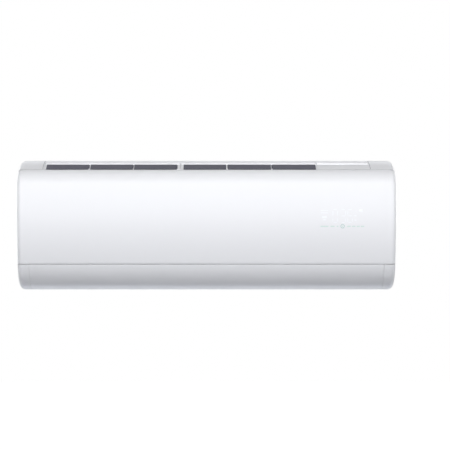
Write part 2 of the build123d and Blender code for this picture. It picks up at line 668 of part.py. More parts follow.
def drain_pan():
    """Insulated trough under the front coil; its underside is the duct's ceiling."""
    rear, low = trough_ends()
    inner = rear.X - PAN_WALL
    front = FRAME_BACK - 0.4
    area = polygon(
        Vector(inner, COIL_LOW + 7), Vector(rear.X, COIL_LOW + 7), rear, low,
        Vector(low.X, PAN_FRONT_TOP), Vector(front, PAN_FRONT_TOP),
        CEILING_END, CEILING_KNEE, TONGUE,
    )
    area -= disc(FAN, TONGUE_R - 0.35)
    pan = prism(area, PAN_LEFT, PAN_RIGHT)
    inside = polygon(rear, low, Vector(low.X, COIL_LOW + 6), Vector(rear.X, COIL_LOW + 6))
    closed = rectangle(inner, front, COIL_LOW - 16, COIL_LOW - 4) & (area + inside)
    for x in (PAN_LEFT, PAN_RIGHT - 2.5):
        pan += prism(closed, x, x + 2.5)
    pan += rod(SPIGOT, SPIGOT_R, PAN_LEFT - SPIGOT_LENGTH, PAN_LEFT + 1)
    for side, x in ((-1, PAN_LEFT), (1, PAN_RIGHT)):
        low, high = sorted((x + side * (SPIGOT_LENGTH + 1), x - side * 14))
        pan -= rod(SPIGOT, SPIGOT_BORE_R, low, high)
        low, high = sorted((x - side * 5, x - side * 20))
        pan -= block(low, high, SPIGOT.X - 6, SPIGOT.X + 6, SPIGOT.Y, COIL_LOW - 10)
    pan -= depth_rod(SEAM_X, SCREW_Z, CASING_SCREW_R + RUNNING_FIT, front - 12, front + 1)
    return pan


def drain_plug():
    """Rubber plug in the outlet that isn't used."""
    plug = rod(SPIGOT, SPIGOT_BORE_R - 0.02, PAN_RIGHT - 9, PAN_RIGHT)
    return plug + rod(SPIGOT, SPIGOT_R, PAN_RIGHT, PAN_RIGHT + 4)


# ---------------------------------------------------------------- heat exchanger
def slab_area(index, grow=0.0):
    """Section of one fin block."""
    start, end = SLABS[index]
    line = (end - start).normalized()
    side = Vector(-line.Y, line.X) * (COIL_T / 2 + grow)
    start, end = start - line * grow, end + line * grow
    return polygon(start + side, end + side, end - side, start - side)


def tube_places(index):
    """Centres of a fin block's tubes: two rows, each from one end to the other."""
    start, end = SLABS[index]
    line = (end - start).normalized()
    side = Vector(-line.Y, line.X)
    count = int(((end - start).length - 10) // TUBE_PITCH) // 2 * 2
    first = (end - start).length / 2 - TUBE_PITCH * (count - 1) / 2
    rows = []
    for sign in (-1, 1):
        shift = side * (sign * ROW_OFFSET)
        rows.append([start + line * (first + TUBE_PITCH * step) + shift for step in range(count)])
    return rows


def fin_block(index):
    """Fins of one block, with the holes that the tubes pass."""
    block_form = prism(slab_area(index), COIL_LEFT, COIL_RIGHT)
    holes = Sketch() + [disc(place, TUBE_R + 0.1) for row in tube_places(index) for place in row]
    return block_form - prism(holes, COIL_LEFT - 1, COIL_RIGHT + 1)


def end_plate(x_low, side):
    """Sheet at one end of the fin blocks, with a foot on the pan and a lug on the back wall."""
    foot = rectangle(COIL_BACK + 6, COIL_BACK + 20, trough_floor(COIL_BACK + 6) + LIFT, COIL_LOW + 5)
    rear = SLABS[2][0]
    leg = rectangle(CHASSIS_FRONT, rear.X - 20, COIL_SCREW_Z - 9, COIL_SCREW_Z + 9)
    area = slab_area(0, LIFT) + slab_area(1, LIFT) + slab_area(2, LIFT) + foot + leg
    joints = polygon(SLABS[0][1] + Vector(-12, -4), SLABS[0][1] + Vector(12, -4),
                     SLABS[1][0] + Vector(8, 8), SLABS[1][0] + Vector(-8, -8))
    top_joint = polygon(SLABS[1][1] + Vector(8, 8), SLABS[2][0] + Vector(-4, 2),
                        SLABS[2][0] + Vector(4, -10), SLABS[1][1] + Vector(-4, -8))
    area = area + joints + top_joint
    for index in range(3):
        for row in tube_places(index):
            for place in row:
                area -= disc(place, TUBE_R + 0.1)
    plate = prism(area, x_low, x_low + PLATE_T)
    low, high = sorted((x_low + PLATE_T / 2, x_low + PLATE_T / 2 + side * 16))
    lug = block(low, high, CHASSIS_FRONT, CHASSIS_FRONT + PLATE_T, COIL_SCREW_Z - 9, COIL_SCREW_Z + 9)
    screw_x = COIL_LEFT - 10 if side < 0 else COIL_RIGHT + 10
    return plate + lug - depth_rod(screw_x, COIL_SCREW_Z, 1.6, CHASSIS_FRONT - 1, CHASSIS_FRONT + 3)


def u_bend(first, second, x, side):
    """Half-round return bend between two tubes, outside an end plate."""
    reach = (second - first).length / 2
    centre = (first + second) * 0.5
    start = Vector(x, -first.X, first.Y)
    middle = Vector(x + side * reach, -centre.X, centre.Y)
    end = Vector(x, -second.X, second.Y)
    path = ThreePointArc(start, middle, end)
    return sweep(Plane(origin=start, z_dir=(side, 0, 0)) * Circle(TUBE_R), path=path)


def evaporator_tubes():
    """Straight tubes through the fins and the bends that join them."""
    pieces = []
    left, right = COIL_LEFT - PLATE_T, COIL_RIGHT + PLATE_T
    for index in range(3):
        rows = tube_places(index)
        run = Part()
        for row in rows:
            for place in row:
                run += rod(place, TUBE_R, left, right)
            for step in range(0, len(row), 2):
                run += u_bend(row[step], row[step + 1], left, -1)
            for step in range(1, len(row) - 1, 2):
                run += u_bend(row[step], row[step + 1], right, 1)
        run += u_bend(rows[0][-1], rows[1][-1], right, 1)
        pieces.append(run)
    return pieces


# ---------------------------------------------------------------- pipes
def pipe_path(start, corner_x, run, end_x):
    """Route of a pipe: out of the coil, down behind the motor, along the channel."""
    points = [
        (COIL_RIGHT + PLATE_T, -start.X, start.Y), (corner_x, -start.X, start.Y),
        (corner_x, -run.X, start.Y - 34), (corner_x, -run.X, run.Y), (end_x, -run.X, run.Y),
    ]
    return FilletPolyline(*points, radius=16)


def pipe(start, corner_x, run, end_x, radius):
    """Copper pipe along its route."""
    path = pipe_path(start, corner_x, run, end_x)
    return sweep(Plane(origin=path @ 0, z_dir=path % 0) * Circle(radius), path=path)


def union_end(run, end_x, pipe_r, union_r):
    """Male flare union on a pipe's end, turned to the left."""
    hexagon = Pos(run.X, run.Y) * RegularPolygon(union_r + 2.5, 6)
    union = rod(run, union_r, end_x - UNION_LENGTH, end_x - 8) + prism(hexagon, end_x - 8, end_x)
    cone = side_plane(end_x - UNION_LENGTH) * Pos(run.X, run.Y) * Circle(pipe_r - 0.9)
    return union - extrude(cone, amount=-UNION_LENGTH)


def foam(run, left, right, pipe_r):
    """Foam sleeve round a pipe's straight stretch."""
    return prism(disc(run, pipe_r + FOAM_WALL) - disc(run, pipe_r + 0.1), left, right)


# ---------------------------------------------------------------- fan
def blower_wheel():
    """Cross-flow wheel: curved blades between rings, with hubs at both ends."""
    blade_mid = FAN_R - 6.5
    blades = Sketch()
    for step in range(WHEEL_BLADES):
        turn = Rot(0, 0, 360 / WHEEL_BLADES * step)
        outer = ThreePointArc((FAN_R - 1, 0), (blade_mid, 2.4), (FAN_R - 12, 1.2))
        strip = make_face([
            outer,
            Line((FAN_R - 12, 1.2), (FAN_R - 12, 1.2 - BLADE_T)),
            ThreePointArc((FAN_R - 12, 1.2 - BLADE_T), (blade_mid, 2.4 - BLADE_T), (FAN_R - 1, -BLADE_T)),
            Line((FAN_R - 1, -BLADE_T), (FAN_R - 1, 0)),
        ])
        blades += Pos(FAN.X, FAN.Y) * turn * strip
    wheel = prism(blades, WHEEL_LEFT + 1, WHEEL_RIGHT - 1)
    gap = (WHEEL_RIGHT - WHEEL_LEFT - 3) / WHEEL_RINGS
    ring = disc(FAN, FAN_R) - disc(FAN, FAN_R - 13)
    rings = [prism(ring, WHEEL_LEFT + gap * n, WHEEL_LEFT + gap * n + 3) for n in range(1, WHEEL_RINGS)]
    end = disc(FAN, FAN_R) - disc(FAN, SHAFT_R)
    hub = disc(FAN, 11) - disc(FAN, SHAFT_R)
    rings += [prism(end, WHEEL_LEFT, WHEEL_LEFT + 3), prism(end, WHEEL_RIGHT - 3, WHEEL_RIGHT)]
    rings += [prism(hub, WHEEL_LEFT, WHEEL_LEFT + 20), prism(hub, WHEEL_RIGHT - 20, WHEEL_RIGHT)]
    return wheel.fuse(*rings)


def blower_shafts():
    """Steel stub in the left bearing and the motor's shaft in the right hub."""
    stub = rod(FAN, SHAFT_R, DUCT_LEFT - 12, WHEEL_LEFT + 20)
    return [stub, rod(FAN, SHAFT_R, WHEEL_RIGHT - 20, MOTOR_LEFT + 30)]


def fan_bearing():
    """Rubber-mounted bearing of the left stub."""
    return prism(disc(FAN, BEARING_R) - disc(FAN, SHAFT_R + RUNNING_FIT), DUCT_LEFT - 13, DUCT_LEFT - 1)


def fan_motor():
    """Moulded motor with its bearing boss towards the wheel."""
    case = rod(FAN, MOTOR_R, MOTOR_LEFT + 4, MOTOR_RIGHT) + rod(FAN, 14, MOTOR_LEFT, MOTOR_LEFT + 5)
    edges = case.edges().filter_by(GeomType.CIRCLE)
    case = fillet([edge for edge in edges if abs(edge.radius - MOTOR_R) < 0.1], 4)
    return case - rod(FAN, SHAFT_R + RUNNING_FIT, MOTOR_LEFT - 1, MOTOR_LEFT + 31)


def motor_clamp():
    """Half band over the motor, screwed to the cradle."""
    band = disc(FAN, MOTOR_R + 2.4) - disc(FAN, MOTOR_R + 0.15)
    half = band & rectangle(FAN.X, DEPTH, BOTTOM, TOP)
    reach = MOTOR_R + 14
    tabs = rectangle(FAN.X, FAN.X + 2.4, FAN.Y + MOTOR_R + 1, FAN.Y + reach)
    tabs += rectangle(FAN.X, FAN.X + 2.4, FAN.Y - reach, FAN.Y - MOTOR_R - 1)
    clamp = prism(half + tabs, CLAMP_LEFT, CLAMP_RIGHT)
    for height in clamp_screw_heights():
        clamp -= depth_rod((CLAMP_LEFT + CLAMP_RIGHT) / 2, height, 1.6, FAN.X - 1, FAN.X + 4)
    return clamp


def clamp_screw_heights():
    """Heights of the clamp's two screws."""
    return (FAN.Y + MOTOR_R + 8.5, FAN.Y - MOTOR_R - 8.5)


# ---------------------------------------------------------------- electrics
def control_box():
    """Open-fronted tray of the electrics, on the back wall, with pillars for the board."""
    outer = block(BOX_LEFT, BOX_RIGHT, CHASSIS_FRONT, BOX_FRONT, BOX_LOW, BOX_TOP)
    inner = block(
        BOX_LEFT + BOX_WALL, BOX_RIGHT - BOX_WALL, CHASSIS_FRONT + BOX_WALL, BOX_FRONT + 1,
        BOX_LOW + BOX_WALL, BOX_TOP - BOX_WALL,
    )
    box = outer - inner
    for depth in (BOARD_BACK + 8, BOARD_FRONT - 8):
        for height in (BOARD_LOW + 8, BOARD_TOP - 8):
            box += rod(Vector(depth, height), 2.5, BOX_LEFT + 1, BOARD_X)
    return box


def control_box_cover():
    """Lid of the electrics, with a rim inside the tray."""
    lid = block(BOX_LEFT, BOX_RIGHT, BOX_FRONT, BOX_FRONT + BOX_WALL, BOX_LOW, BOX_TOP)
    gap = BOX_WALL + LIFT
    rim = block(BOX_LEFT + gap, BOX_RIGHT - gap, BOX_FRONT - 5, BOX_FRONT, BOX_LOW + gap, BOX_TOP - gap)
    gap += 1.5
    rim -= block(BOX_LEFT + gap, BOX_RIGHT - gap, BOX_FRONT - 6, BOX_FRONT, BOX_LOW + gap, BOX_TOP - gap)
    return lid + rim


def control_board():
    """Circuit board with its larger components."""
    x = BOARD_X + BOARD_T
    board = [block(BOARD_X, x, BOARD_BACK, BOARD_FRONT, BOARD_LOW, BOARD_TOP)]
    mid = (BOARD_BACK + BOARD_FRONT) / 2
    for depth, height, size, tall in (
        (mid - 38, BOARD_LOW + 22, 20, 18), (mid - 10, BOARD_LOW + 18, 16, 15),
        (mid + 26, BOARD_LOW + 24, 26, 24), (mid - 30, BOARD_LOW + 62, 30, 12),
        (mid + 34, BOARD_LOW + 66, 14, 10),
    ):
        half = size / 2
        board.append(block(x, x + tall, depth - half, depth + half, height - half, height + half))
    for depth, height in ((mid + 2, BOARD_LOW + 50), (mid + 14, BOARD_LOW + 74)):
        board.append(rod(Vector(depth, height), 7, x, x + 20))
    return board


def terminal_block():
    """Row of clamping screws for the supply and the outdoor unit."""
    left, right = BOX_LEFT + 24, BOX_RIGHT - BOX_WALL - 3
    low = BOX_LOW + BOX_WALL
    front = BOX_FRONT - 22
    terminal = block(left, right, front - 24, front, low, low + 14)
    count = 4
    pitch = (right - left) / count
    for step in range(count + 1):
        x = min(max(left + pitch * step, left + 0.8), right - 0.8)
        terminal += block(x - 0.8, x + 0.8, front - 24, front, low, low + 22)
    return terminal


def cord_clamp():
    """Saddle that holds the wires beside the terminal block."""
    low = BOX_LOW + BOX_WALL
    middle = (BOX_LEFT + 24 + BOX_RIGHT - 5) / 2
    saddle = block(middle - 16, middle + 16, BOX_FRONT - 18, BOX_FRONT - 8, low, low + 9)
    return saddle - depth_rod(middle, low + 1, 6, BOX_FRONT - 19, BOX_FRONT - 7)


def display_front():
    """Depth of the display housing's face, just behind the panel."""
    return min(front_at(DISPLAY_LOW, WALL), front_at(DISPLAY_TOP, WALL)) - 0.8


def display_housing():
    """Box on the casing that holds the display against the panel's back."""
    front = display_front()
    box = block(DISPLAY_LEFT, DISPLAY_RIGHT, FRAME_FRONT, front, DISPLAY_LOW, DISPLAY_TOP)
    wall = 1.6
    box -= block(
        DISPLAY_LEFT + wall, DISPLAY_RIGHT - wall, FRAME_FRONT - 1, front - 1.2,
        DISPLAY_LOW + wall, DISPLAY_TOP - wall,
    )
    return box


def display_board():
    """Board with the light modules that shine through the panel."""
    front = display_front()
    gap = 1.6 + LIFT
    board = block(
        DISPLAY_LEFT + gap, DISPLAY_RIGHT - gap, front - 8, front - 6.4,
        DISPLAY_LOW + gap, DISPLAY_TOP - gap,
    )
    pieces = [board]
    middle = (DISPLAY_LEFT + DISPLAY_RIGHT) / 2
    for x, width, low, high in (
        (middle - 16, 28, DISPLAY_LOW + 26, DISPLAY_TOP - 8),
        (middle + 16, 28, DISPLAY_LOW + 26, DISPLAY_TOP - 8),
        (middle, 70, DISPLAY_LOW + 6, DISPLAY_LOW + 20),
    ):
        pieces.append(block(x - width / 2, x + width / 2, front - 6.4, front - 1.6, low, high))
    return pieces


def emergency_button():
    """Push button in the frame behind the panel."""
    rise = BUTTON_TRAVEL + 0.6
    stem = depth_rod(BUTTON_X, BUTTON_Z, BUTTON_R, FRAME_BACK - 2, FRAME_FRONT + rise)
    return stem + depth_rod(BUTTON_X, BUTTON_Z, BUTTON_R + 1.2, FRAME_FRONT + rise, FRAME_FRONT + rise + 2)


def flap_stepper():
    """Geared motor behind the right cheek, its shaft in the flap's socket."""
    x = FLAP_HALF + 3.5
    case = rod(FLAP_PIVOT + Vector(0, 6), STEPPER_R, x, x + STEPPER_LENGTH)
    lugs = rectangle(FLAP_PIVOT.X - 16, FLAP_PIVOT.X + 16, FLAP_PIVOT.Y + 3, FLAP_PIVOT.Y + 9)
    case += prism(lugs, x, x + 1.5)
    return case + rod(FLAP_PIVOT, FLAP_SHAFT_R, FLAP_HALF - 9, x + 1)


def vane_stepper(group):
    """Geared motor under the outlet floor, its shaft in the group's first vane."""
    x = vane_x(group, 0)
    high = -GUIDE_T - 1.6
    case = across_rod(x, 0, VANE_STEPPER_R, high - VANE_STEPPER_LENGTH, high)
    return case + across_rod(x, 0, STEPPER_SHAFT_R, high - 1, 7)


def sensor_clip():
    """Coil temperature sensor in its clip on the right end plate."""
    x = COIL_RIGHT + PLATE_T
    clip = block(x, x + 7, COIL_BACK + 7, COIL_BACK + 19, COIL_LOW - 9, COIL_LOW - 3)
    return clip + depth_rod(x + 3.5, COIL_LOW - 6, 2.4, COIL_BACK + 2, COIL_BACK + 24)


# ---------------------------------------------------------------- outlet flap
def flap_top_angle():
    """Tangent angle of the outline where the flap's top edge lies."""
    return degrees(acos((BULGE_LOW.Y - 0.8 - FLAP_C.Y) / FLAP_ARC_R))


def outlet_flap():
    """Outer skin of the flap with its nose tube, ribs, pins and shaft socket."""
    start = flap_top_angle()
    section = ring_sector(FLAP_C, FLAP_ARC_R, FLAP_ARC_R - WALL, start, 180)
    section += rectangle(FLAP_PIVOT.X, FLAP_C.X + 0.5, BOTTOM, BOTTOM + WALL)
    section += ring_sector(FLAP_C, FLAP_ARC_R - 1, FLAP_LINER_R - FLAP_LINER_T, start, start + 2)
    section += disc(FLAP_PIVOT, FLAP_NOSE_R) - disc(FLAP_PIVOT, FLAP_NOSE_R - 2.2)
    flap = prism(section, -FLAP_HALF, FLAP_HALF)
    rib = ring_sector(FLAP_C, FLAP_ARC_R - 1, FLAP_LINER_R + 0.1, start + 1, 170)
    for x in (-FLAP_HALF, -FLAP_HALF / 2, -1.2, FLAP_HALF / 2, FLAP_HALF - 2.4):
        flap += prism(rib, x, x + 2.4)
    for x, length in ((-FLAP_HALF, 12), (SEAM_X - 7, 14), (FLAP_HALF - 12, 12)):
        flap += rod(FLAP_PIVOT, FLAP_NOSE_R - 1, x, x + length)
    flap -= rod(FLAP_PIVOT, FLAP_NOSE_R + 1.5, SEAM_X - 3, SEAM_X + 3)
    flap += rod(FLAP_PIVOT, CENTRE_PIN_R, SEAM_X - 4, SEAM_X + 4)
    flap += rod(FLAP_PIVOT, FLAP_PIN_R, -FLAP_HALF - 3.2, -FLAP_HALF + 1)
    return flap - rod(FLAP_PIVOT, FLAP_SHAFT_R + RUNNING_FIT, FLAP_HALF - 10, FLAP_HALF + 1)


def flap_liner():
    """Inner skin of the flap, on the skin's ribs."""
    start = flap_top_angle() + 2.1
    area = ring_sector(FLAP_C, FLAP_LINER_R, FLAP_LINER_R - FLAP_LINER_T, start, 175)
    return prism(area, -FLAP_HALF + 0.3, FLAP_HALF - 0.3)


# ---------------------------------------------------------------- filters
def filter_span(side):
    """Ends of a filter's cap and of its upright part."""
    if side < 0:
        return FILTER_LEFT, SEAM_X - FILTER_SEAM / 2, FILTER_LEFT, SEAM_X - 2
    return SEAM_X + FILTER_SEAM / 2, FILTER_RIGHT, SEAM_X + 2, FILTER_RIGHT


def filter_columns(side):
    """Left and right side of each of a filter's cells."""
    left, right, _, _ = filter_span(side)
    cell = (right - left - 2 * FILTER_EDGE - (FILTER_COLUMNS - 1) * FILTER_RIB) / FILTER_COLUMNS
    starts = [left + FILTER_EDGE + column * (cell + FILTER_RIB) for column in range(FILTER_COLUMNS)]
    return [(x, x + cell) for x in starts]


def filter_frame(side):
    """Filter frame: grip bar and three cells in the top, a grid of cells behind the panel."""
    cap_left, cap_right, left, right = filter_span(side)
    cap = (outline(0) - outline(CAP_T)) & rectangle(GRIP_BACK, CAP_FRONT, 0, TOP + 1)
    frame = prism(cap - disc(HINGE, HINGE_NOSE_R + SEAM + LIFT), cap_left, cap_right)
    for cell_left, cell_right in filter_columns(side):
        frame -= block(cell_left, cell_right, GRIP_FRONT, CELL_FRONT, HINGE.Y, TOP + 1)
    upright = rectangle(FILTER_BACK, FILTER_FRONT, FILTER_LOW, top_at(FILTER_FRONT, CAP_T - 0.4))
    frame += prism(upright, left, right)
    row_low = FILTER_LOW + FILTER_EDGE
    row_high = top_at(FILTER_FRONT, CAP_T) - FILTER_EDGE
    row = (row_high - row_low - (FILTER_ROWS - 1) * FILTER_RIB) / FILTER_ROWS
    for cell_left, cell_right in filter_columns(side):
        for line in range(FILTER_ROWS):
            low = row_low + line * (row + FILTER_RIB)
            frame -= block(cell_left, cell_right, FILTER_BACK - 1, FILTER_FRONT + 1, low, low + row)
    return frame


def filter_mesh(side):
    """Fine mesh behind the upright frame, and a net in each cell of the cap."""
    _, _, left, right = filter_span(side)
    upright = rectangle(MESH_BACK, FILTER_BACK, FILTER_LOW + 1.5, top_at(FILTER_BACK, CAP_T) - LIFT)
    net = (outline(NET_INSET) - outline(NET_INSET + NET_T)) & rectangle(GRIP_FRONT, CELL_FRONT, 0, TOP)
    nets = [prism(net, *span) for span in filter_columns(side)]
    return [prism(upright, left + 1, right - 1), *nets]


# ---------------------------------------------------------------- vanes
def vane(group, index):
    """Vane with its hub and pin in the floor and its pin in the link bar."""
    x = vane_x(group, index)
    centre = Pos((VANE_FOOT + VANE_TIP) / 2, (VANE_FRONT - VANE_BACK) / 2)
    sheet = centre * RectangleRounded(VANE_TIP - VANE_FOOT, VANE_FRONT + VANE_BACK, 5)
    form = extrude(across_plane(x, VANE_ROOT) * sheet, amount=VANE_T / 2, both=True)
    form += across_rod(x, 0, VANE_HUB_R, LIFT, VANE_FOOT + 7)
    form += across_rod(x, 0, VANE_PIN_R, -GUIDE_T - 1, VANE_FOOT)
    form += across_rod(x, -LINK_ARM, LINK_PIN_R, VANE_TIP - 3, VANE_TIP + LINK_T + 2)
    if index == 0:
        form -= across_rod(x, 0, STEPPER_SHAFT_R + RUNNING_FIT, -GUIDE_T - 2, 8)
    return form


def link_bar(group):
    """Bar that joins the tips of a group of vanes."""
    first, last = vane_x(group, 0), vane_x(group, VANES_PER_GROUP - 1)
    centre = Pos(VANE_TIP + 1 + LINK_T / 2, -LINK_ARM)
    plane = across_plane(first - 7, VANE_ROOT)
    bar = extrude(plane * (centre * Rectangle(LINK_T, LINK_W)), amount=last - first + 14)
    for index in range(VANES_PER_GROUP):
        x = vane_x(group, index)
        bar -= across_rod(x, -LINK_ARM, LINK_PIN_R + RUNNING_FIT, VANE_TIP, VANE_TIP + LINK_T + 2)
    return bar


# ---------------------------------------------------------------- fasteners
def screw(x, height, seat, radius, reach, head_r):
    """Pan-head screw driven towards the wall; its head sits on the seat."""
    return depth_rod(x, height, radius, seat - reach, seat) + depth_rod(x, height, head_r, seat, seat + 2)


def casing_screws():
    """Screws of the front casing, hidden behind the panel."""
    reach = FRAME_T + 10
    return [screw(x, z, FRAME_FRONT, CASING_SCREW_R, reach, 4.0) for x, z in SCREW_PLACES]


def chassis_screws():
    """Screws of the coil's lugs and of the motor clamp."""
    middle = (CLAMP_LEFT + CLAMP_RIGHT) / 2
    screws = [screw(middle, z, FAN.X + 2.4, 1.5, 10, 3.2) for z in clamp_screw_heights()]
    for x in (COIL_LEFT - 10, COIL_RIGHT + 10):
        screws.append(screw(x, COIL_SCREW_Z, CHASSIS_FRONT + PLATE_T, 1.5, 3.4, 3.0))
    return screws


def pipe_clamp_plate():
    """Plate across the open back of the pipe channel."""
    return block(120, 160, CHASSIS_BACK - 1.4, CHASSIS_BACK, BOTTOM + 4, CHANNEL_TOP + 6)


GAS_START = tube_places(2)[0][0]
LIQUID_START = tube_places(2)[1][0]
GAS_DROP_X = CLAMP_LEFT + 6.0
LIQUID_DROP_X = CLAMP_LEFT + 17.0


def main():
    """Builds and writes every piece."""
    shell = body(0) - body(WALL)
    write("front_panel", front_panel(shell))
    write("front_casing", front_casing(shell))
    write("rear_chassis", rear_chassis())
    write("mounting_plate", mounting_plate())
    write("drain_pan", drain_pan())
    write("drain_plug", drain_plug())
    for index, name in enumerate(SLAB_NAMES):
        write(name, fin_block(index))
    write("evaporator_end_plate_left", end_plate(COIL_LEFT - PLATE_T, -1))
    write("evaporator_end_plate_right", end_plate(COIL_RIGHT, 1))
    write("evaporator_tubes", evaporator_tubes())
    write("gas_pipe", pipe(GAS_START, GAS_DROP_X, GAS_RUN, GAS_END, GAS_R))
    write("liquid_pipe", pipe(LIQUID_START, LIQUID_DROP_X, LIQUID_RUN, LIQUID_END, LIQUID_R))
    write("gas_pipe_insulation", foam(GAS_RUN, GAS_END + 6, GAS_DROP_X - 20, GAS_R))
    write("liquid_pipe_insulation", foam(LIQUID_RUN, LIQUID_END + 6, LIQUID_DROP_X - 20, LIQUID_R))
    write("gas_union", union_end(GAS_RUN, GAS_END, GAS_R, GAS_UNION_R))
    write("liquid_union", union_end(LIQUID_RUN, LIQUID_END, LIQUID_R, LIQUID_UNION_R))
    write("pipe_clamp_plate", pipe_clamp_plate())
    write("blower_wheel", blower_wheel())
    write("blower_shafts", blower_shafts())
    write("fan_bearing", fan_bearing())
    write("fan_motor", fan_motor())
    write("motor_clamp", motor_clamp())
    write("control_box", control_box())
    write("control_box_cover", control_box_cover())
    write("control_board", control_board())
    write("terminal_block", terminal_block())
    write("cord_clamp", cord_clamp())
    write("display_housing", display_housing())
    write("display_board", display_board())
    write("emergency_button", emergency_button())
    write("flap_stepper", flap_stepper())
    write("vane_stepper_left", vane_stepper(0))
    write("vane_stepper_right", vane_stepper(1))
    write("sensor_clip", sensor_clip())
    write("outlet_flap", outlet_flap())
    write("flap_liner", flap_liner())
    for side, name in ((-1, "left"), (1, "right")):
        write(f"filter_{name}_frame", filter_frame(side))
        write(f"filter_{name}_mesh", filter_mesh(side))
    for group, name in enumerate(("left", "right")):
        for index in range(VANES_PER_GROUP):
            write(f"vane_{name}_{index + 1}", vane(group, index))
        write(f"link_bar_{name}", link_bar(group))
    write("casing_screws", casing_screws())
    write("chassis_screws", chassis_screws())


if __name__ == "__main__":
    main()
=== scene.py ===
import json
import logging
import math
from dataclasses import dataclass, field, replace
from enum import Enum
from typing import Any, Callable, Iterable

import bpy
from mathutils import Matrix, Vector

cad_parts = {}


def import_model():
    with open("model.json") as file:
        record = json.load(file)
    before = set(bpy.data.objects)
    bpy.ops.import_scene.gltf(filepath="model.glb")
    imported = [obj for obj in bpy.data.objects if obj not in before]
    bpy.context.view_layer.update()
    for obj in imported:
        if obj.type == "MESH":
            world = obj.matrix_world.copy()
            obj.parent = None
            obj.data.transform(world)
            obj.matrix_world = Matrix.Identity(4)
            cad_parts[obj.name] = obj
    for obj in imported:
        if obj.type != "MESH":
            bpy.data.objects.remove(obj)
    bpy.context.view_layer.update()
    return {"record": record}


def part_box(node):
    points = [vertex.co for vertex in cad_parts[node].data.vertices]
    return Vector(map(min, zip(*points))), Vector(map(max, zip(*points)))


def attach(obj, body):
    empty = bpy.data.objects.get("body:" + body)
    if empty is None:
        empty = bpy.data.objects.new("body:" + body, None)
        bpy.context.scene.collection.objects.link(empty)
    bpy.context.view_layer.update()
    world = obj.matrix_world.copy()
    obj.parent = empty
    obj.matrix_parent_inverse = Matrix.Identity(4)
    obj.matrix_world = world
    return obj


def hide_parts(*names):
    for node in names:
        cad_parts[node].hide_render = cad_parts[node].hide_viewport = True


LOG = logging.getLogger("indoor_unit")
MM = 0.001
NEAR = 1e-5
SIDES = (-1, 1)
ACROSS = (0, math.pi / 2, 0)
OUT_FROM_WALL = (math.pi / 2, 0, 0)
Point = tuple[float, float]
Colour = tuple[float, float, float]
Sockets = tuple[bpy.types.NodeSocket, bpy.types.NodeSocket]


# ---------------------------------------------------------------- shared helpers
def unit(angle: float) -> Point:
    """Outward direction in depth and height where the outline's tangent has turned by an angle in degrees."""
    return math.sin(math.radians(angle)), math.cos(math.radians(angle))


def along(start: Point, direction: Point, length: float) -> Point:
    """Point at a length from another, in depth and height."""
    return start[0] + direction[0] * length, start[1] + direction[1] * length


def centred(middle: float, wide: float) -> Point:
    """Span of a width round a middle."""
    return middle - wide / 2, middle + wide / 2


def between(first: float, second: float) -> Point:
    """Span between two places, the lower one first."""
    return min(first, second), max(first, second)


def shrunk(span: Point, rim: float) -> Point:
    """Span drawn in by a rim at both ends."""
    return span[0] + rim, span[1] - rim


def mid(span: Point) -> float:
    """Middle of a span."""
    return (span[0] + span[1]) / 2


def place(x: float, depth: float, height: float) -> Vector:
    """Point of the scene from millimetres across, out from the wall and up."""
    return Vector((x * MM, -depth * MM, height * MM))


def limits(node: str) -> tuple[Point, Point, Point]:
    """Reach of a CAD node across, out from the wall and up, in millimetres."""
    low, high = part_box(node)
    return (low.x / MM, high.x / MM), (-high.y / MM, -low.y / MM), (low.z / MM, high.z / MM)


def rest() -> None:
    """Leaves edit mode and deselects everything."""
    if bpy.context.object and bpy.context.object.mode != "OBJECT":
        bpy.ops.object.mode_set(mode="OBJECT")
    bpy.ops.object.select_all(action="DESELECT")


def only(piece: bpy.types.Object) -> None:
    """Selects one piece and makes it active.

    Args:
        piece: the piece.
    """
    rest()
    piece.select_set(True)
    bpy.context.view_layer.objects.active = piece


def rename(piece: bpy.types.Object, name: str) -> bpy.types.Object:
    """Gives a piece and its mesh one name.

    Args:
        piece: the piece.
        name: its new name.

    Returns:
        The piece.
    """
    piece.name = name
    piece.data.name = name
    return piece


def start_piece(name: str) -> bpy.types.Object:
    """Names the primitive that was just added and applies its place."""
    bpy.ops.object.transform_apply(location=True, rotation=True, scale=True)
    return rename(bpy.context.object, name)


def edit_all(piece: bpy.types.Object) -> None:
    """Goes to edit mode with the whole piece selected.

    Args:
        piece: the piece.
    """
    only(piece)
    bpy.ops.object.mode_set(mode="EDIT")
    bpy.ops.mesh.select_all(action="SELECT")


def pick(piece: bpy.types.Object, kind: str, test: Callable[[Any], bool]) -> None:
    """Selects the faces or edges that pass a test and stays in edit mode.

    Args:
        piece: the piece in object mode.
        kind: FACE or EDGE.
        test: takes the element and says whether it is selected.
    """
    only(piece)
    bpy.ops.object.mode_set(mode="EDIT")
    bpy.ops.mesh.select_mode(type=kind)
    bpy.ops.mesh.select_all(action="DESELECT")
    bpy.ops.object.mode_set(mode="OBJECT")
    mesh = piece.data
    for item in (mesh.polygons if kind == "FACE" else mesh.edges):
        item.select = test(item)
    bpy.ops.object.mode_set(mode="EDIT")


def apply(piece: bpy.types.Object, kind: str, **settings: Any) -> None:
    """Adds a modifier and applies it.

    Args:
        piece: the piece that it changes.
        kind: the modifier's type name.
        settings: properties of the modifier.
    """
    only(piece)
    made = piece.modifiers.new(kind.title(), kind)
    for name, value in settings.items():
        setattr(made, name, value)
    bpy.ops.object.modifier_apply(modifier=made.name)


def smooth(piece: bpy.types.Object, angle: float = 32.0) -> None:
    """Smooths the shading between faces that meet at less than an angle in degrees."""
    only(piece)
    bpy.ops.object.shade_smooth_by_angle(angle=math.radians(angle), keep_sharp_edges=False)


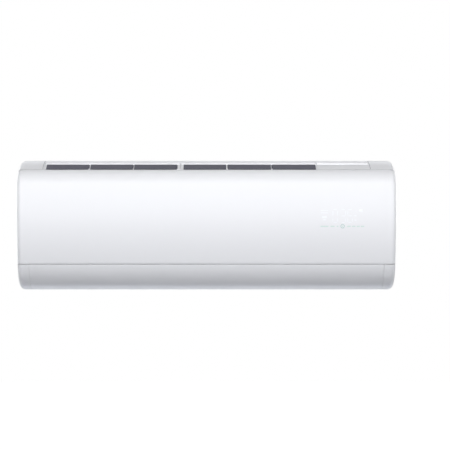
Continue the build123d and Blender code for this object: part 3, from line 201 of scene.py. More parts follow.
def soften(piece: bpy.types.Object, width: float = 0.4, segments: int = 2, angle: float = 35.0) -> None:
    """Rounds a piece's sharp edges and smooths its shading.

    Args:
        piece: the piece.
        width: width of the rounding in millimetres.
        segments: how many strips make the rounding.
        angle: edges that turn by more than this many degrees are rounded.
    """
    apply(piece, "BEVEL", width=width * MM, segments=segments, limit_method="ANGLE",
          angle_limit=math.radians(angle), harden_normals=False, use_clamp_overlap=True)
    smooth(piece)


def carve(piece: bpy.types.Object, cutter: bpy.types.Object) -> None:
    """Takes a cutter's form out of a piece and drops the cutter."""
    apply(piece, "BOOLEAN", object=cutter, operation="DIFFERENCE", solver="EXACT")
    bpy.data.objects.remove(cutter, do_unlink=True)


def join(name: str, pieces: Iterable[bpy.types.Object]) -> bpy.types.Object:
    """Joins pieces into one.

    Args:
        name: the name of the joined piece.
        pieces: the pieces, of which the first takes up the others.

    Returns:
        The joined piece.
    """
    found = list(pieces)
    rest()
    for piece in found:
        piece.select_set(True)
    bpy.context.view_layer.objects.active = found[0]
    if len(found) > 1:
        bpy.ops.object.join()
    return rename(found[0], name)


def bar(name: str, x: Point, depth: Point, height: Point, edge: float = 0.3) -> bpy.types.Object:
    """Box between six planes, in millimetres.

    Args:
        name: the piece's name.
        x: where it starts and ends across.
        depth: where it starts and ends out from the wall.
        height: where it starts and ends upwards.
        edge: width of its rounded edges, or 0 for sharp ones.

    Returns:
        The box.
    """
    rest()
    size = ((x[1] - x[0]) * MM, (depth[1] - depth[0]) * MM, (height[1] - height[0]) * MM)
    bpy.ops.mesh.primitive_cube_add(size=1, location=place(mid(x), mid(depth), mid(height)), scale=size)
    piece = start_piece(name)
    if edge:
        soften(piece, edge)
    return piece


def cylinder(
    name: str, centre: Vector, reach: float, radius: float, sides: int, turn: tuple[float, float, float]
) -> bpy.types.Object:
    """Round bar with sharp rims.

    Args:
        name: the piece's name.
        centre: its centre in the scene.
        reach: its length in millimetres.
        radius: its radius in millimetres.
        sides: how many sides make it round.
        turn: how it is turned from upright, as ACROSS or OUT_FROM_WALL.

    Returns:
        The bar.
    """
    rest()
    bpy.ops.mesh.primitive_cylinder_add(
        vertices=sides, radius=radius * MM, depth=reach * MM, location=centre, rotation=turn)
    return start_piece(name)


def round_bar(
    name: str, x: Point, centre: Point, radius: float, sides: int = 32, edge: float = 0.3
) -> bpy.types.Object:
    """Round bar along the width, in millimetres.

    Args:
        name: the piece's name.
        x: where it starts and ends across.
        centre: its axis in depth and height.
        radius: its radius.
        sides: how many sides make it round.
        edge: width of its rounded rims, or 0 for sharp ones.

    Returns:
        The bar.
    """
    piece = cylinder(name, place(mid(x), *centre), x[1] - x[0], radius, sides, ACROSS)
    if edge:
        soften(piece, edge)
    return piece


def peg(name: str, x: float, height: float, depth: Point, radius: float, sides: int) -> bpy.types.Object:
    """Round bar that points out from the wall, with sharp rims, in millimetres."""
    return cylinder(name, place(x, mid(depth), height), depth[1] - depth[0], radius, sides, OUT_FROM_WALL)


class SidePen:
    """Draws a side profile vertex by vertex in edit mode, in millimetres of depth and height."""

    def __init__(self, name: str, start: Point) -> None:
        """Starts a profile at a point of the middle plane.

        Args:
            name: the piece's name.
            start: the first point.
        """
        rest()
        bpy.ops.mesh.primitive_plane_add(size=MM, location=(0, 0, 0))
        self.piece = start_piece(name)
        bpy.ops.object.mode_set(mode="EDIT")
        bpy.ops.mesh.select_mode(type="VERT")
        bpy.ops.mesh.select_all(action="SELECT")
        bpy.ops.mesh.merge(type="CENTER")
        bpy.ops.transform.translate(value=place(0, *start))
        self.here = start

    def line(self, point: Point) -> None:
        """Straight stretch to a point.

        Args:
            point: where it ends.
        """
        step = place(0, point[0] - self.here[0], point[1] - self.here[1])
        bpy.ops.mesh.extrude_region_move(TRANSFORM_OT_translate={"value": step})
        self.here = point

    def arc(self, centre: Point, turn: float, steps: int) -> None:
        """Arc round a centre.

        Args:
            centre: its centre in depth and height.
            turn: degrees it turns through, clockwise in the side view from the right.
            steps: how many straight stretches make it.
        """
        angle = math.radians(turn)
        bpy.ops.mesh.spin(steps=steps, angle=-angle, center=place(0, *centre), axis=(1, 0, 0), dupli=False)
        out, up = self.here[0] - centre[0], self.here[1] - centre[1]
        self.here = (
            centre[0] + (out * math.cos(angle) + up * math.sin(angle)),
            centre[1] + (up * math.cos(angle) - out * math.sin(angle)))

    def face(self, x: Point) -> bpy.types.Object:
        """Closes the profile, fills it and carries it across from one place to another.

        Args:
            x: where the piece starts and ends across.

        Returns:
            The piece, in object mode.
        """
        bpy.ops.mesh.select_all(action="SELECT")
        bpy.ops.mesh.remove_doubles(threshold=NEAR)
        bpy.ops.mesh.select_all(action="SELECT")
        bpy.ops.mesh.edge_face_add()
        bpy.ops.transform.translate(value=(x[0] * MM, 0, 0))
        bpy.ops.mesh.extrude_region_move(TRANSFORM_OT_translate={"value": ((x[1] - x[0]) * MM, 0, 0)})
        bpy.ops.mesh.select_all(action="SELECT")
        bpy.ops.mesh.normals_make_consistent(inside=False)
        rest()
        return self.piece


def band(name: str, centre: Point, radii: Point, angles: Point, steps: int, x: Point) -> bpy.types.Object:
    """Curved strip between two arcs round one centre.

    Args:
        name: the piece's name.
        centre: the arcs' centre in depth and height.
        radii: the first arc's radius and the second's.
        angles: where the arcs start and end, in degrees from straight up.
        steps: how many straight stretches make an arc.
        x: where the strip starts and ends across.

    Returns:
        The strip.
    """
    start, end = angles
    pen = SidePen(name, along(centre, unit(start), radii[0]))
    pen.arc(centre, end - start, steps)
    pen.line(along(centre, unit(end), radii[1]))
    pen.arc(centre, start - end, steps)
    return pen.face(x)


# ---------------------------------------------------------------- finishes
class Grain(Enum):
    """How a finish breaks up under the light."""

    MOULDED = "moulded"
    TEXTURED = "textured"
    SPANGLED = "spangled"
    DRAWN = "drawn"
    CELLULAR = "cellular"
    WOVEN = "woven"
    PRESSED = "pressed"


@dataclass(frozen=True)
class Finish:
    """One finish.

    Args:
        name: its name, and its material's.
        colour: its colour.
        grain: how it breaks up.
        shift: how far its colour varies, as a share.
        rough: its least and most roughness.
        metal: 1 for bare metal.
        scale: how fine its grain is.
        depth: how deep its grain is, in millimetres.
        glow: how strongly it shines by itself.
        see_through: how clear it is between its threads.
    """

    name: str
    colour: Colour
    grain: Grain = Grain.MOULDED
    shift: float = 0.03
    rough: Point = (0.3, 0.36)
    metal: float = 0.0
    scale: float = 60.0
    depth: float = 0.02
    glow: float = 0.0
    see_through: float = 0.0


FINISHES = {finish.name: finish for finish in (
    Finish("white_shell", (0.88, 0.885, 0.91), rough=(0.3, 0.34), scale=22, depth=0.004, shift=0.006),
    Finish("white_inner", (0.83, 0.83, 0.845), Grain.TEXTURED, rough=(0.42, 0.5), scale=900),
    Finish("grey_duct", (0.24, 0.25, 0.27), Grain.TEXTURED, rough=(0.5, 0.6), scale=900),
    Finish("filter_frame", (0.86, 0.86, 0.885), scale=40, depth=0.01, shift=0.01),
    Finish("filter_mesh", (0.085, 0.085, 0.11), Grain.WOVEN, rough=(0.55, 0.65), scale=1, depth=0.2, see_through=0.4),
    Finish("cap_net", (0.075, 0.075, 0.098), Grain.WOVEN, rough=(0.55, 0.65), scale=1, depth=0.2, see_through=0.1),
    Finish("fins", (0.72, 0.75, 0.79), Grain.DRAWN, rough=(0.28, 0.42), metal=1, scale=260, depth=0.01),
    Finish("copper", (0.72, 0.38, 0.25), Grain.DRAWN, shift=0.12, rough=(0.22, 0.4), metal=1, scale=120, depth=0.01),
    Finish("galvanised", (0.62, 0.64, 0.66), Grain.SPANGLED,
           shift=0.14, rough=(0.34, 0.52), metal=1, scale=110, depth=0.01),
    Finish("pressed_plate", (0.5, 0.52, 0.54), Grain.PRESSED,
           shift=0.14, rough=(0.36, 0.54), metal=1, scale=110, depth=2.0),
    # painted shadow: dark grey for the shade in the gap beside the end caps' raised edges
    Finish("painted_gap_shadow", (0.4, 0.41, 0.44), Grain.TEXTURED, rough=(0.6, 0.7), scale=700, depth=0.01),
    Finish("steel", (0.42, 0.42, 0.44), Grain.DRAWN, rough=(0.24, 0.36), metal=1, scale=300, depth=0.01),
    Finish("brass", (0.78, 0.6, 0.28), Grain.DRAWN, shift=0.06, rough=(0.25, 0.38), metal=1, scale=200, depth=0.01),
    Finish("rubber", (0.035, 0.035, 0.04), Grain.TEXTURED, rough=(0.6, 0.75), scale=700, depth=0.03),
    Finish("foam", (0.8, 0.8, 0.78), Grain.CELLULAR, rough=(0.85, 0.95), scale=520, depth=0.25),
    Finish("motor_case", (0.72, 0.7, 0.64), Grain.TEXTURED, rough=(0.45, 0.55), scale=500, depth=0.03),
    Finish("wheel", (0.2, 0.21, 0.23), Grain.TEXTURED, rough=(0.35, 0.45), scale=700, depth=0.015),
    Finish("vane_black", (0.1, 0.1, 0.11), Grain.TEXTURED, rough=(0.4, 0.5), scale=800),
    Finish("board", (0.05, 0.25, 0.13), Grain.TEXTURED, shift=0.1, rough=(0.3, 0.42), scale=420),
    Finish("sleeve_blue", (0.03, 0.06, 0.2), rough=(0.28, 0.36), scale=200, depth=0.01, shift=0.1),
    Finish("tape_yellow", (0.72, 0.52, 0.1), Grain.TEXTURED, shift=0.08, rough=(0.35, 0.5), scale=300, depth=0.03),
    Finish("display", (0.8, 0.82, 0.84), rough=(0.2, 0.26), depth=0.005),
    Finish("glyph_white", (0.93, 0.95, 0.99), rough=(0.2, 0.26), depth=0.004, glow=0.05),
    Finish("glyph_teal", (0.68, 0.8, 0.77), depth=0.004),
    Finish("glyph_ring", (0.5, 0.64, 0.63), depth=0.004),
)}


class Wiring:
    """Adds nodes to a tree and joins them."""

    def __init__(self, tree: bpy.types.NodeTree) -> None:
        """Works on one node tree."""
        self.tree = tree

    def add(self, kind: str, inputs: dict[str | int, Any] | None = None, **settings: Any) -> bpy.types.Node:
        """Adds a node.

        Args:
            kind: the node's type name.
            inputs: values or sockets for its inputs.
            settings: properties of the node.

        Returns:
            The new node.
        """
        node = self.tree.nodes.new(kind)
        for name, value in settings.items():
            setattr(node, name, value)
        for name, value in (inputs or {}).items():
            if isinstance(value, bpy.types.NodeSocket):
                self.tree.links.new(value, node.inputs[name])
            else:
                node.inputs[name].default_value = value
        return node

    def calc(self, operation: str, *values: Any) -> bpy.types.NodeSocket:
        """Result of a Math node on values or sockets."""
        return self.add("ShaderNodeMath", dict(enumerate(values)), operation=operation).outputs[0]

    def ramp(self, value: Any, given: Point = (0.0, 1.0), made: Point = (0.0, 1.0)) -> bpy.types.NodeSocket:
        """Value carried from a given range to the one that is made, and kept inside it.

        Args:
            value: the socket.
            given: its range.
            made: the range that comes out.

        Returns:
            The new value.
        """
        return self.add("ShaderNodeMapRange", {
            "Value": value, "From Min": given[0], "From Max": given[1],
            "To Min": made[0], "To Max": made[1]}).outputs[0]

    def seen(self) -> bpy.types.NodeSocket:
        """1 for what the camera sees, straight or in gloss and glass, and 0 for light on its way.

        Returns:
            The value.
        """
        path = self.add("ShaderNodeLightPath")
        direct = self.calc("MAXIMUM", path.outputs["Is Camera Ray"], path.outputs["Is Glossy Ray"])
        return self.calc("MAXIMUM", direct, path.outputs["Is Transmission Ray"])

    def mix(self, factor: Any, first: bpy.types.Node, second: bpy.types.Node) -> bpy.types.Node:
        """Mix of two shaders."""
        return self.add("ShaderNodeMixShader", {0: factor, 1: first.outputs[0], 2: second.outputs[0]})


def new_material(name: str) -> tuple[bpy.types.Material, Wiring]:
    """Empty material and the wiring of its nodes.

    Args:
        name: the material's name.

    Returns:
        The material and its wiring.
    """
    made = bpy.data.materials.new(name)
    made.use_nodes = True
    made.node_tree.nodes.clear()
    return made, Wiring(made.node_tree)


@dataclass
class GrainNodes:
    """Nodes of the grains: each method is named as its grain, and gives its mask and its height.

    Args:
        wiring: where the nodes are added.
        where: the place on the piece.
        scale: how fine the grain is.
        crystal_share: share of the zinc's crystals in its grain; the rest is finer.
        crystal_depth: how deep they are beside the beads.
        thread_pitch: from one thread of a net to the next, in metres.
        thread_edge: how soft a thread's edge is, on its sine.
        bead_pitch: from one stiffening bead to the next, in metres.
        bead_edge: how soft a bead's edge is, on its sine.
        bead_ends: where the beads begin to end and end, from the middle, in metres.
    """

    wiring: Wiring
    where: Any
    scale: Any
    crystal_share: float = 0.7
    crystal_depth: float = 0.004
    thread_pitch: float = 0.0016
    thread_edge: Point = (-0.2, 0.2)
    bead_pitch: float = 0.0352
    bead_edge: Point = (0.72, 0.98)
    bead_ends: Point = (0.318, 0.326)

    def noise(self, scale: Any, detail: float, roughness: float = 0.5) -> bpy.types.NodeSocket:
        """Value of a noise on the piece."""
        return self.wiring.add("ShaderNodeTexNoise", {
            "Vector": self.where, "Scale": scale, "Detail": detail, "Roughness": roughness}).outputs["Fac"]

    def stripes(self, axis: Any, pitch: float, edge: Point) -> bpy.types.NodeSocket:
        """Soft stripes across an axis, at a pitch in metres."""
        turns = self.wiring.calc("MULTIPLY", axis, 2 * math.pi / pitch)
        return self.wiring.ramp(self.wiring.calc("SINE", turns), edge)

    def moulded(self) -> Sockets:
        """Long soft swells of an injection-moulded skin."""
        return self.noise(3.0, detail=1.0), self.noise(self.scale, detail=2.0, roughness=0.4)

    def textured(self) -> Sockets:
        """Fine spark-eroded texture of an inner moulding."""
        return self.noise(9.0, detail=3.0), self.noise(self.scale, detail=3.0, roughness=0.6)

    def spangled(self) -> Sockets:
        """Crystals of a zinc coat.

        Returns:
            Mask and height.
        """
        inputs = {"Vector": self.where, "Scale": self.scale, "Randomness": 1.0}
        crystal = self.wiring.add("ShaderNodeTexVoronoi", inputs).outputs["Color"]
        shade = self.wiring.add("ShaderNodeSeparateColor", {"Color": crystal}).outputs["Red"]
        fine = self.wiring.calc("MULTIPLY", self.noise(420.0, detail=2.0), 1 - self.crystal_share)
        total = self.wiring.calc("ADD", self.wiring.calc("MULTIPLY", shade, self.crystal_share), fine)
        return total, total

    def drawn(self) -> Sockets:
        """Fine lines of drawn or rolled metal with soft stains."""
        return self.noise(24.0, detail=4.0), self.noise(self.scale, detail=4.0, roughness=0.7)

    def cellular(self) -> Sockets:
        """Closed cells of foam."""
        cells = self.wiring.add("ShaderNodeTexVoronoi", {"Vector": self.where, "Scale": self.scale})
        return self.noise(30.0, detail=4.0), cells.outputs["Distance"]

    def woven(self) -> Sockets:
        """Crossed threads of a fine net, as a mask of thread and hole.

        Returns:
            Mask and height.
        """
        axes = self.wiring.add("ShaderNodeSeparateXYZ", {"Vector": self.where}).outputs
        climb = self.wiring.calc("SUBTRACT", axes["Z"], axes["Y"])
        across, up = (
            self.stripes(self.wiring.calc("MULTIPLY", axis, self.scale), self.thread_pitch, self.thread_edge)
            for axis in (axes["X"], climb))
        thread = self.wiring.calc("MAXIMUM", across, up)
        return thread, thread

    def pressed(self) -> Sockets:
        """Zinc crystals on a sheet with long stiffening beads pressed across it.

        Returns:
            Mask and height.
        """
        crystals, _ = self.spangled()
        axes = self.wiring.add("ShaderNodeSeparateXYZ", {"Vector": self.where}).outputs
        bead = self.stripes(axes["Z"], self.bead_pitch, self.bead_edge)
        inside = self.wiring.ramp(self.wiring.calc("ABSOLUTE", axes["X"]), self.bead_ends, (1.0, 0.0))
        fine = self.wiring.calc("MULTIPLY", crystals, self.crystal_depth)
        return crystals, self.wiring.calc("ADD", self.wiring.calc("MULTIPLY", bead, inside), fine)


class Surfaces:
    """Builds the shared grain groups and each finish's material once, and finishes the pieces."""

    bump_strength: float = 0.35

    def __init__(self) -> None:
        """Starts with nothing made."""
        self.made: dict[str, bpy.types.Material] = {}
        self.groups: dict[Grain, bpy.types.NodeTree] = {}

    def group(self, grain: Grain) -> bpy.types.NodeTree:
        """Node group of a grain, with a scale in and a mask and a height out.

        Args:
            grain: the grain.

        Returns:
            The group.
        """
        if grain in self.groups:
            return self.groups[grain]
        tree = bpy.data.node_groups.new(f"grain_{grain.value}", "ShaderNodeTree")
        for name, way in (("Scale", "INPUT"), ("Mask", "OUTPUT"), ("Height", "OUTPUT")):
            tree.interface.new_socket(name=name, in_out=way, socket_type="NodeSocketFloat")
        wiring = Wiring(tree)
        scale = wiring.add("NodeGroupInput").outputs["Scale"]
        where = wiring.add("ShaderNodeTexCoord").outputs["Object"]
        mask, height = getattr(GrainNodes(wiring, where, scale), grain.value)()
        wiring.add("NodeGroupOutput", {"Mask": mask, "Height": height})
        self.groups[grain] = tree
        return tree

    def material(self, finish: Finish) -> bpy.types.Material:
        """Material of a finish, made on first use.

        Args:
            finish: the finish.

        Returns:
            The material.
        """
        if finish.name in self.made:
            return self.made[finish.name]
        made, wiring = new_material(finish.name)
        grain = wiring.add("ShaderNodeGroup", {"Scale": finish.scale}, node_tree=self.group(finish.grain)).outputs
        dark = [max(0.0, part * (1 - finish.shift)) for part in finish.colour] + [1]
        light = [min(1.0, part * (1 + finish.shift)) for part in finish.colour] + [1]
        tint = wiring.add("ShaderNodeMix", {"Factor": grain["Mask"], 6: dark, 7: light}, data_type="RGBA")
        bump = wiring.add("ShaderNodeBump", {
            "Height": grain["Height"], "Strength": self.bump_strength, "Distance": finish.depth * MM * 2})
        shader = wiring.add("ShaderNodeBsdfPrincipled", {
            "Base Color": tint.outputs[2], "Roughness": wiring.ramp(grain["Mask"], made=finish.rough),
            "Normal": bump.outputs[0], "Metallic": finish.metal, "IOR": 1.5})
        if finish.glow:
            shader.inputs["Emission Color"].default_value = (*finish.colour, 1)
            shader.inputs["Emission Strength"].default_value = finish.glow
        if finish.see_through:
            solid = wiring.ramp(grain["Mask"], made=(1.0 - finish.see_through, 1.0))
            made.node_tree.links.new(solid, shader.inputs["Alpha"])
        wiring.add("ShaderNodeOutputMaterial", {"Surface": shader.outputs[0]})
        self.made[finish.name] = made
        return made

    def dress(self, piece: bpy.types.Object, name: str) -> None:
        """Gives a piece one finish."""
        piece.data.materials.clear()
        piece.data.materials.append(self.material(FINISHES[name]))

    def complete(
        self, piece: bpy.types.Object, finish: str, slot: str, body: str, node: str = ""
    ) -> bpy.types.Object:
        """Dresses a piece, and says what it moves with and stands for.

        Args:
            piece: the finished shape.
            finish: name of its finish.
            slot: the record's material slot for the piece; not used.
            body: the body that it rides on.
            node: the CAD node that it replaces, if it does.

        Returns:
            The piece.
        """
        self.dress(piece, finish)
        if node:
            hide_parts(node)
        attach(piece, body)
        return piece


# ---------------------------------------------------------------- the unit's outline
@dataclass(frozen=True)
class Outline:
    """The unit's side view and the places that its pieces share, in millimetres."""

    width: float = 870.0
    height: float = 302.0
    depth: float = 215.0
    wall: float = 2.5
    edge_round: float = 12.0
    edge_steps: int = 9
    top_r: float = 154.0
    top_end: float = 35.0
    shoulder_r: float = 38.0
    shoulder_end: float = 85.5
    bulge_end: float = 100.7
    flap_r: float = 75.0
    nose_r: float = 5.0
    panel_top: float = 33.0
    half_seam: float = 0.8
    arc_steps: tuple[int, ...] = (24, 26, 28, 36)

    @property
    def half(self) -> float:
        """Half of the width."""
        return self.width / 2

    @property
    def top(self) -> float:
        """Height of the flat top."""
        return self.height / 2

    @property
    def bulge_r(self) -> float:
        """Radius of the front's bulge.

        Returns:
            The radius.
        """
        top_drop = self.top_r * (1 - unit(self.top_end)[1])
        shoulder_drop = self.shoulder_r * (unit(self.top_end)[1] - unit(self.shoulder_end)[1])
        flap_drop = self.flap_r * (1 + unit(self.bulge_end)[1])
        return (self.height - top_drop - shoulder_drop - flap_drop) / (
            unit(self.shoulder_end)[1] - unit(self.bulge_end)[1])

    @property
    def top_c(self) -> Point:
        """Centre of the sloping top's arc.

        Returns:
            Its depth and height.
        """
        flat = (self.depth - self.top_r * unit(self.top_end)[0]
                - self.shoulder_r * (unit(self.shoulder_end)[0] - unit(self.top_end)[0])
                - self.bulge_r * (1 - unit(self.shoulder_end)[0]))
        return flat, self.top - self.top_r

    @property
    def shoulder_c(self) -> Point:
        """Centre of the shoulder's arc."""
        return along(self.top_c, unit(self.top_end), self.top_r - self.shoulder_r)

    @property
    def bulge_c(self) -> Point:
        """Centre of the bulge's arc."""
        return along(self.shoulder_c, unit(self.shoulder_end), self.shoulder_r - self.bulge_r)

    @property
    def bulge_low(self) -> Point:
        """Where the panel ends and the flap begins."""
        return along(self.bulge_c, unit(self.bulge_end), self.bulge_r)

    @property
    def flap_c(self) -> Point:
        """Centre of the flap's arc."""
        return along(self.bulge_low, unit(self.bulge_end), -self.flap_r)

    @property
    def hinge(self) -> Point:
        """Axis of the panel's hinge."""
        return along(self.top_c, unit(self.panel_top), self.top_r - self.nose_r)

    def front_at(self, height: float, inset: float = 0.0) -> float:
        """Depth of the bulged front at a height, or of a face inset from it."""
        return self.bulge_c[0] + math.sqrt((self.bulge_r - inset) ** 2 - (height - self.bulge_c[1]) ** 2)

    def closed_form(self, name: str) -> bpy.types.Object:
        """The whole outer form with its rounded ends.

        Args:
            name: the form's name.

        Returns:
            The form, as a closed mesh.
        """
        pen = SidePen(name, (0.0, self.top))
        pen.line((self.top_c[0], self.top))
        centres = (self.top_c, self.shoulder_c, self.bulge_c, self.flap_c)
        ends = (0.0, self.top_end, self.shoulder_end, self.bulge_end, 180.0)
        for centre, start, end, steps in zip(centres, ends, ends[1:], self.arc_steps):
            pen.arc(centre, end - start, steps)
        pen.line((0.0, -self.top))
        form = pen.face((-self.half, self.half))

        def at_end(edge: bpy.types.MeshEdge) -> bool:
            """Says whether an edge runs round an end of the form, clear of the wall.

            Args:
                edge: the edge.

            Returns:
                True if it does.
            """
            first, second = (form.data.vertices[index].co for index in edge.vertices)
            level = abs(abs(first.x) - self.half * MM) < NEAR and abs(first.x - second.x) < NEAR
            return level and max(-first.y, -second.y) > MM / 2

        pick(form, "EDGE", at_end)
        bpy.ops.mesh.bevel(offset=self.edge_round * MM, segments=self.edge_steps,
                           affect="EDGES", profile=0.5, clamp_overlap=False)
        rest()
        return form

    def cut(self, form: bpy.types.Object, point: Point, normal: Point, clear: bool = True) -> None:
        """Cuts a form by a plane along the width.

        Args:
            form: the form.
            point: a point of the plane in depth and height.
            normal: the plane's normal in depth and height.
            clear: whether what lies on the normal's side is dropped.
        """
        edit_all(form)
        bpy.ops.mesh.bisect(
            plane_co=place(0, *point), plane_no=(0, -normal[0], normal[1]),
            clear_outer=clear, clear_inner=False, use_fill=False, threshold=0.000001)
        rest()


# ---------------------------------------------------------------- front panel
@dataclass
class FrontPanel:
    """The lifting panel: a bulged skin that wraps round both ends, with ears, catches and ribs."""

    outline: Outline
    surfaces: Surfaces
    nose_turn: float = 60.0
    nose_lap: float = 0.6
    lap_rims: Point = (0.2, 0.5)
    nose_room: float = 0.5
    ear_in: float = 30.0
    ear_t: float = 5.0
    ear_back_r: float = 4.0
    ear_angles: Point = (40.0, 62.0)
    ear_inset: float = 1.5
    heel: Point = (0.17, -0.985)
    heel_r: float = 4.4
    heel_turn: float = 130.0
    pin_r: float = 1.8
    pin_out: float = 6.5
    catch_share: float = 0.57
    catch_up: float = 12.8
    catch_wide: float = 12.0
    catch_back: float = 189.8
    catch_t: float = 2.0
    catch_inset: float = 1.2
    rib_heights: Point = (74.0, -70.0)
    rib_across: tuple[float, ...] = (-300.0, -150.0, 0.0, 150.0)
    rib_half: float = 390.0
    rib_t: float = 1.2
    rib_depth: float = 5.5
    rib_insets: Point = (1.6, 6.0)
    rib_steps: int = 8

    def build(self) -> list[bpy.types.Object]:
        """Builds the panel and lets it ride on its hinge."""
        panel = join("panel_moulding", [self.skin(), self.nose(), *self.ears(), *self.catches(), *self.ribs()])
        return [self.surfaces.complete(panel, "white_shell", "white_shell", "front_panel", "front_panel")]

    def skin(self) -> bpy.types.Object:
        """Outer skin, cut out of the unit's closed form and given its wall.

        Returns:
            The skin.
        """
        line = self.outline
        skin = line.closed_form("panel_skin")
        tilt = unit(line.panel_top)
        line.cut(skin, (0, line.bulge_low[1] + line.half_seam), (0, -1))
        line.cut(skin, (line.hinge[0] - line.nose_r, 0), (-1, 0))
        line.cut(skin, line.hinge, (0, 1), clear=False)
        line.cut(skin, line.hinge, (-tilt[1], tilt[0]), clear=False)

        def behind(face: bpy.types.MeshPolygon) -> bool:
            """Says whether a face lies behind the panel's upper edge."""
            depth, height = -face.center.y / MM - line.hinge[0], face.center.z / MM - line.hinge[1]
            return height > 0 and -depth * tilt[1] + height * tilt[0] > 0

        pick(skin, "FACE", behind)
        bpy.ops.mesh.delete(type="FACE")
        rest()
        apply(skin, "SOLIDIFY", thickness=line.wall * MM, offset=-1.0, use_even_offset=True)
        soften(skin, width=0.45, segments=3)
        return skin

    def nose(self) -> bpy.types.Object:
        """Round rear end of the skin that turns inside the casing's seam.

        Returns:
            The nose.
        """
        line = self.outline
        up = unit(line.panel_top)
        forward = (up[1], -up[0])
        inner = line.nose_r - line.wall
        pen = SidePen("panel_nose", along(line.hinge, up, line.nose_r))
        pen.arc(line.hinge, -self.nose_turn, steps=14)
        pen.line(along(line.hinge, up, inner))
        for radius in (inner + self.lap_rims[0], line.nose_r - self.lap_rims[1]):
            pen.line(along(along(line.hinge, up, radius), forward, self.nose_lap))
        reach = line.half - line.edge_round - self.nose_room
        nose = pen.face((-reach, reach))
        smooth(nose)
        return nose

    def ears(self) -> list[bpy.types.Object]:
        """Arms with the hinge pins at both ends.

        Returns:
            Both arms and both pins.
        """
        line = self.outline
        made = []
        for side in SIDES:
            inside = side * (line.half - self.ear_in)
            pen = SidePen("ear", along(line.hinge, unit(line.panel_top), self.ear_back_r))
            for angle in self.ear_angles:
                pen.line(along(line.shoulder_c, unit(angle), line.shoulder_r - self.ear_inset))
            pen.line(along(line.hinge, self.heel, self.heel_r))
            pen.arc(line.hinge, self.heel_turn, steps=16)
            ear = pen.face(between(inside, inside + side * self.ear_t))
            soften(ear, width=0.3)
            pin = between(inside, inside + side * (self.ear_t + self.pin_out))
            made += [ear, round_bar("ear_pin", pin, line.hinge, self.pin_r)]
        return made

    def catches(self) -> list[bpy.types.Object]:
        """Ledges near the lower edge that snap on the frame.

        Returns:
            Both ledges.
        """
        line = self.outline
        low = line.bulge_low[1] + self.catch_up
        depth = (self.catch_back, line.front_at(low, self.catch_inset))
        spans = [centred(side * line.half * self.catch_share, self.catch_wide) for side in SIDES]
        return [bar("catch", span, depth, (low, low + self.catch_t)) for span in spans]

    def ribs(self) -> list[bpy.types.Object]:
        """Stiffening ribs on the panel's inner face, two along it and four up it.

        Returns:
            The ribs.
        """
        line = self.outline
        shallow, deep = self.rib_insets
        made = []
        for height in self.rib_heights:
            front = line.front_at(height, shallow)
            made.append(bar("rib", (-self.rib_half, self.rib_half), (front - self.rib_depth, front),
                            centred(height, self.rib_t), edge=0.2))
        top, low = self.rib_heights
        heights = [top - (top - low) * step / self.rib_steps for step in range(self.rib_steps + 1)]
        for x in self.rib_across:
            pen = SidePen("rib", (line.front_at(top, deep), top))
            for height in heights[1:]:
                pen.line((line.front_at(height, deep), height))
            for height in reversed(heights):
                pen.line((line.front_at(height, shallow), height))
            rib = pen.face(centred(x, self.rib_t))
            soften(rib, width=0.2)
            made.append(rib)
        return made


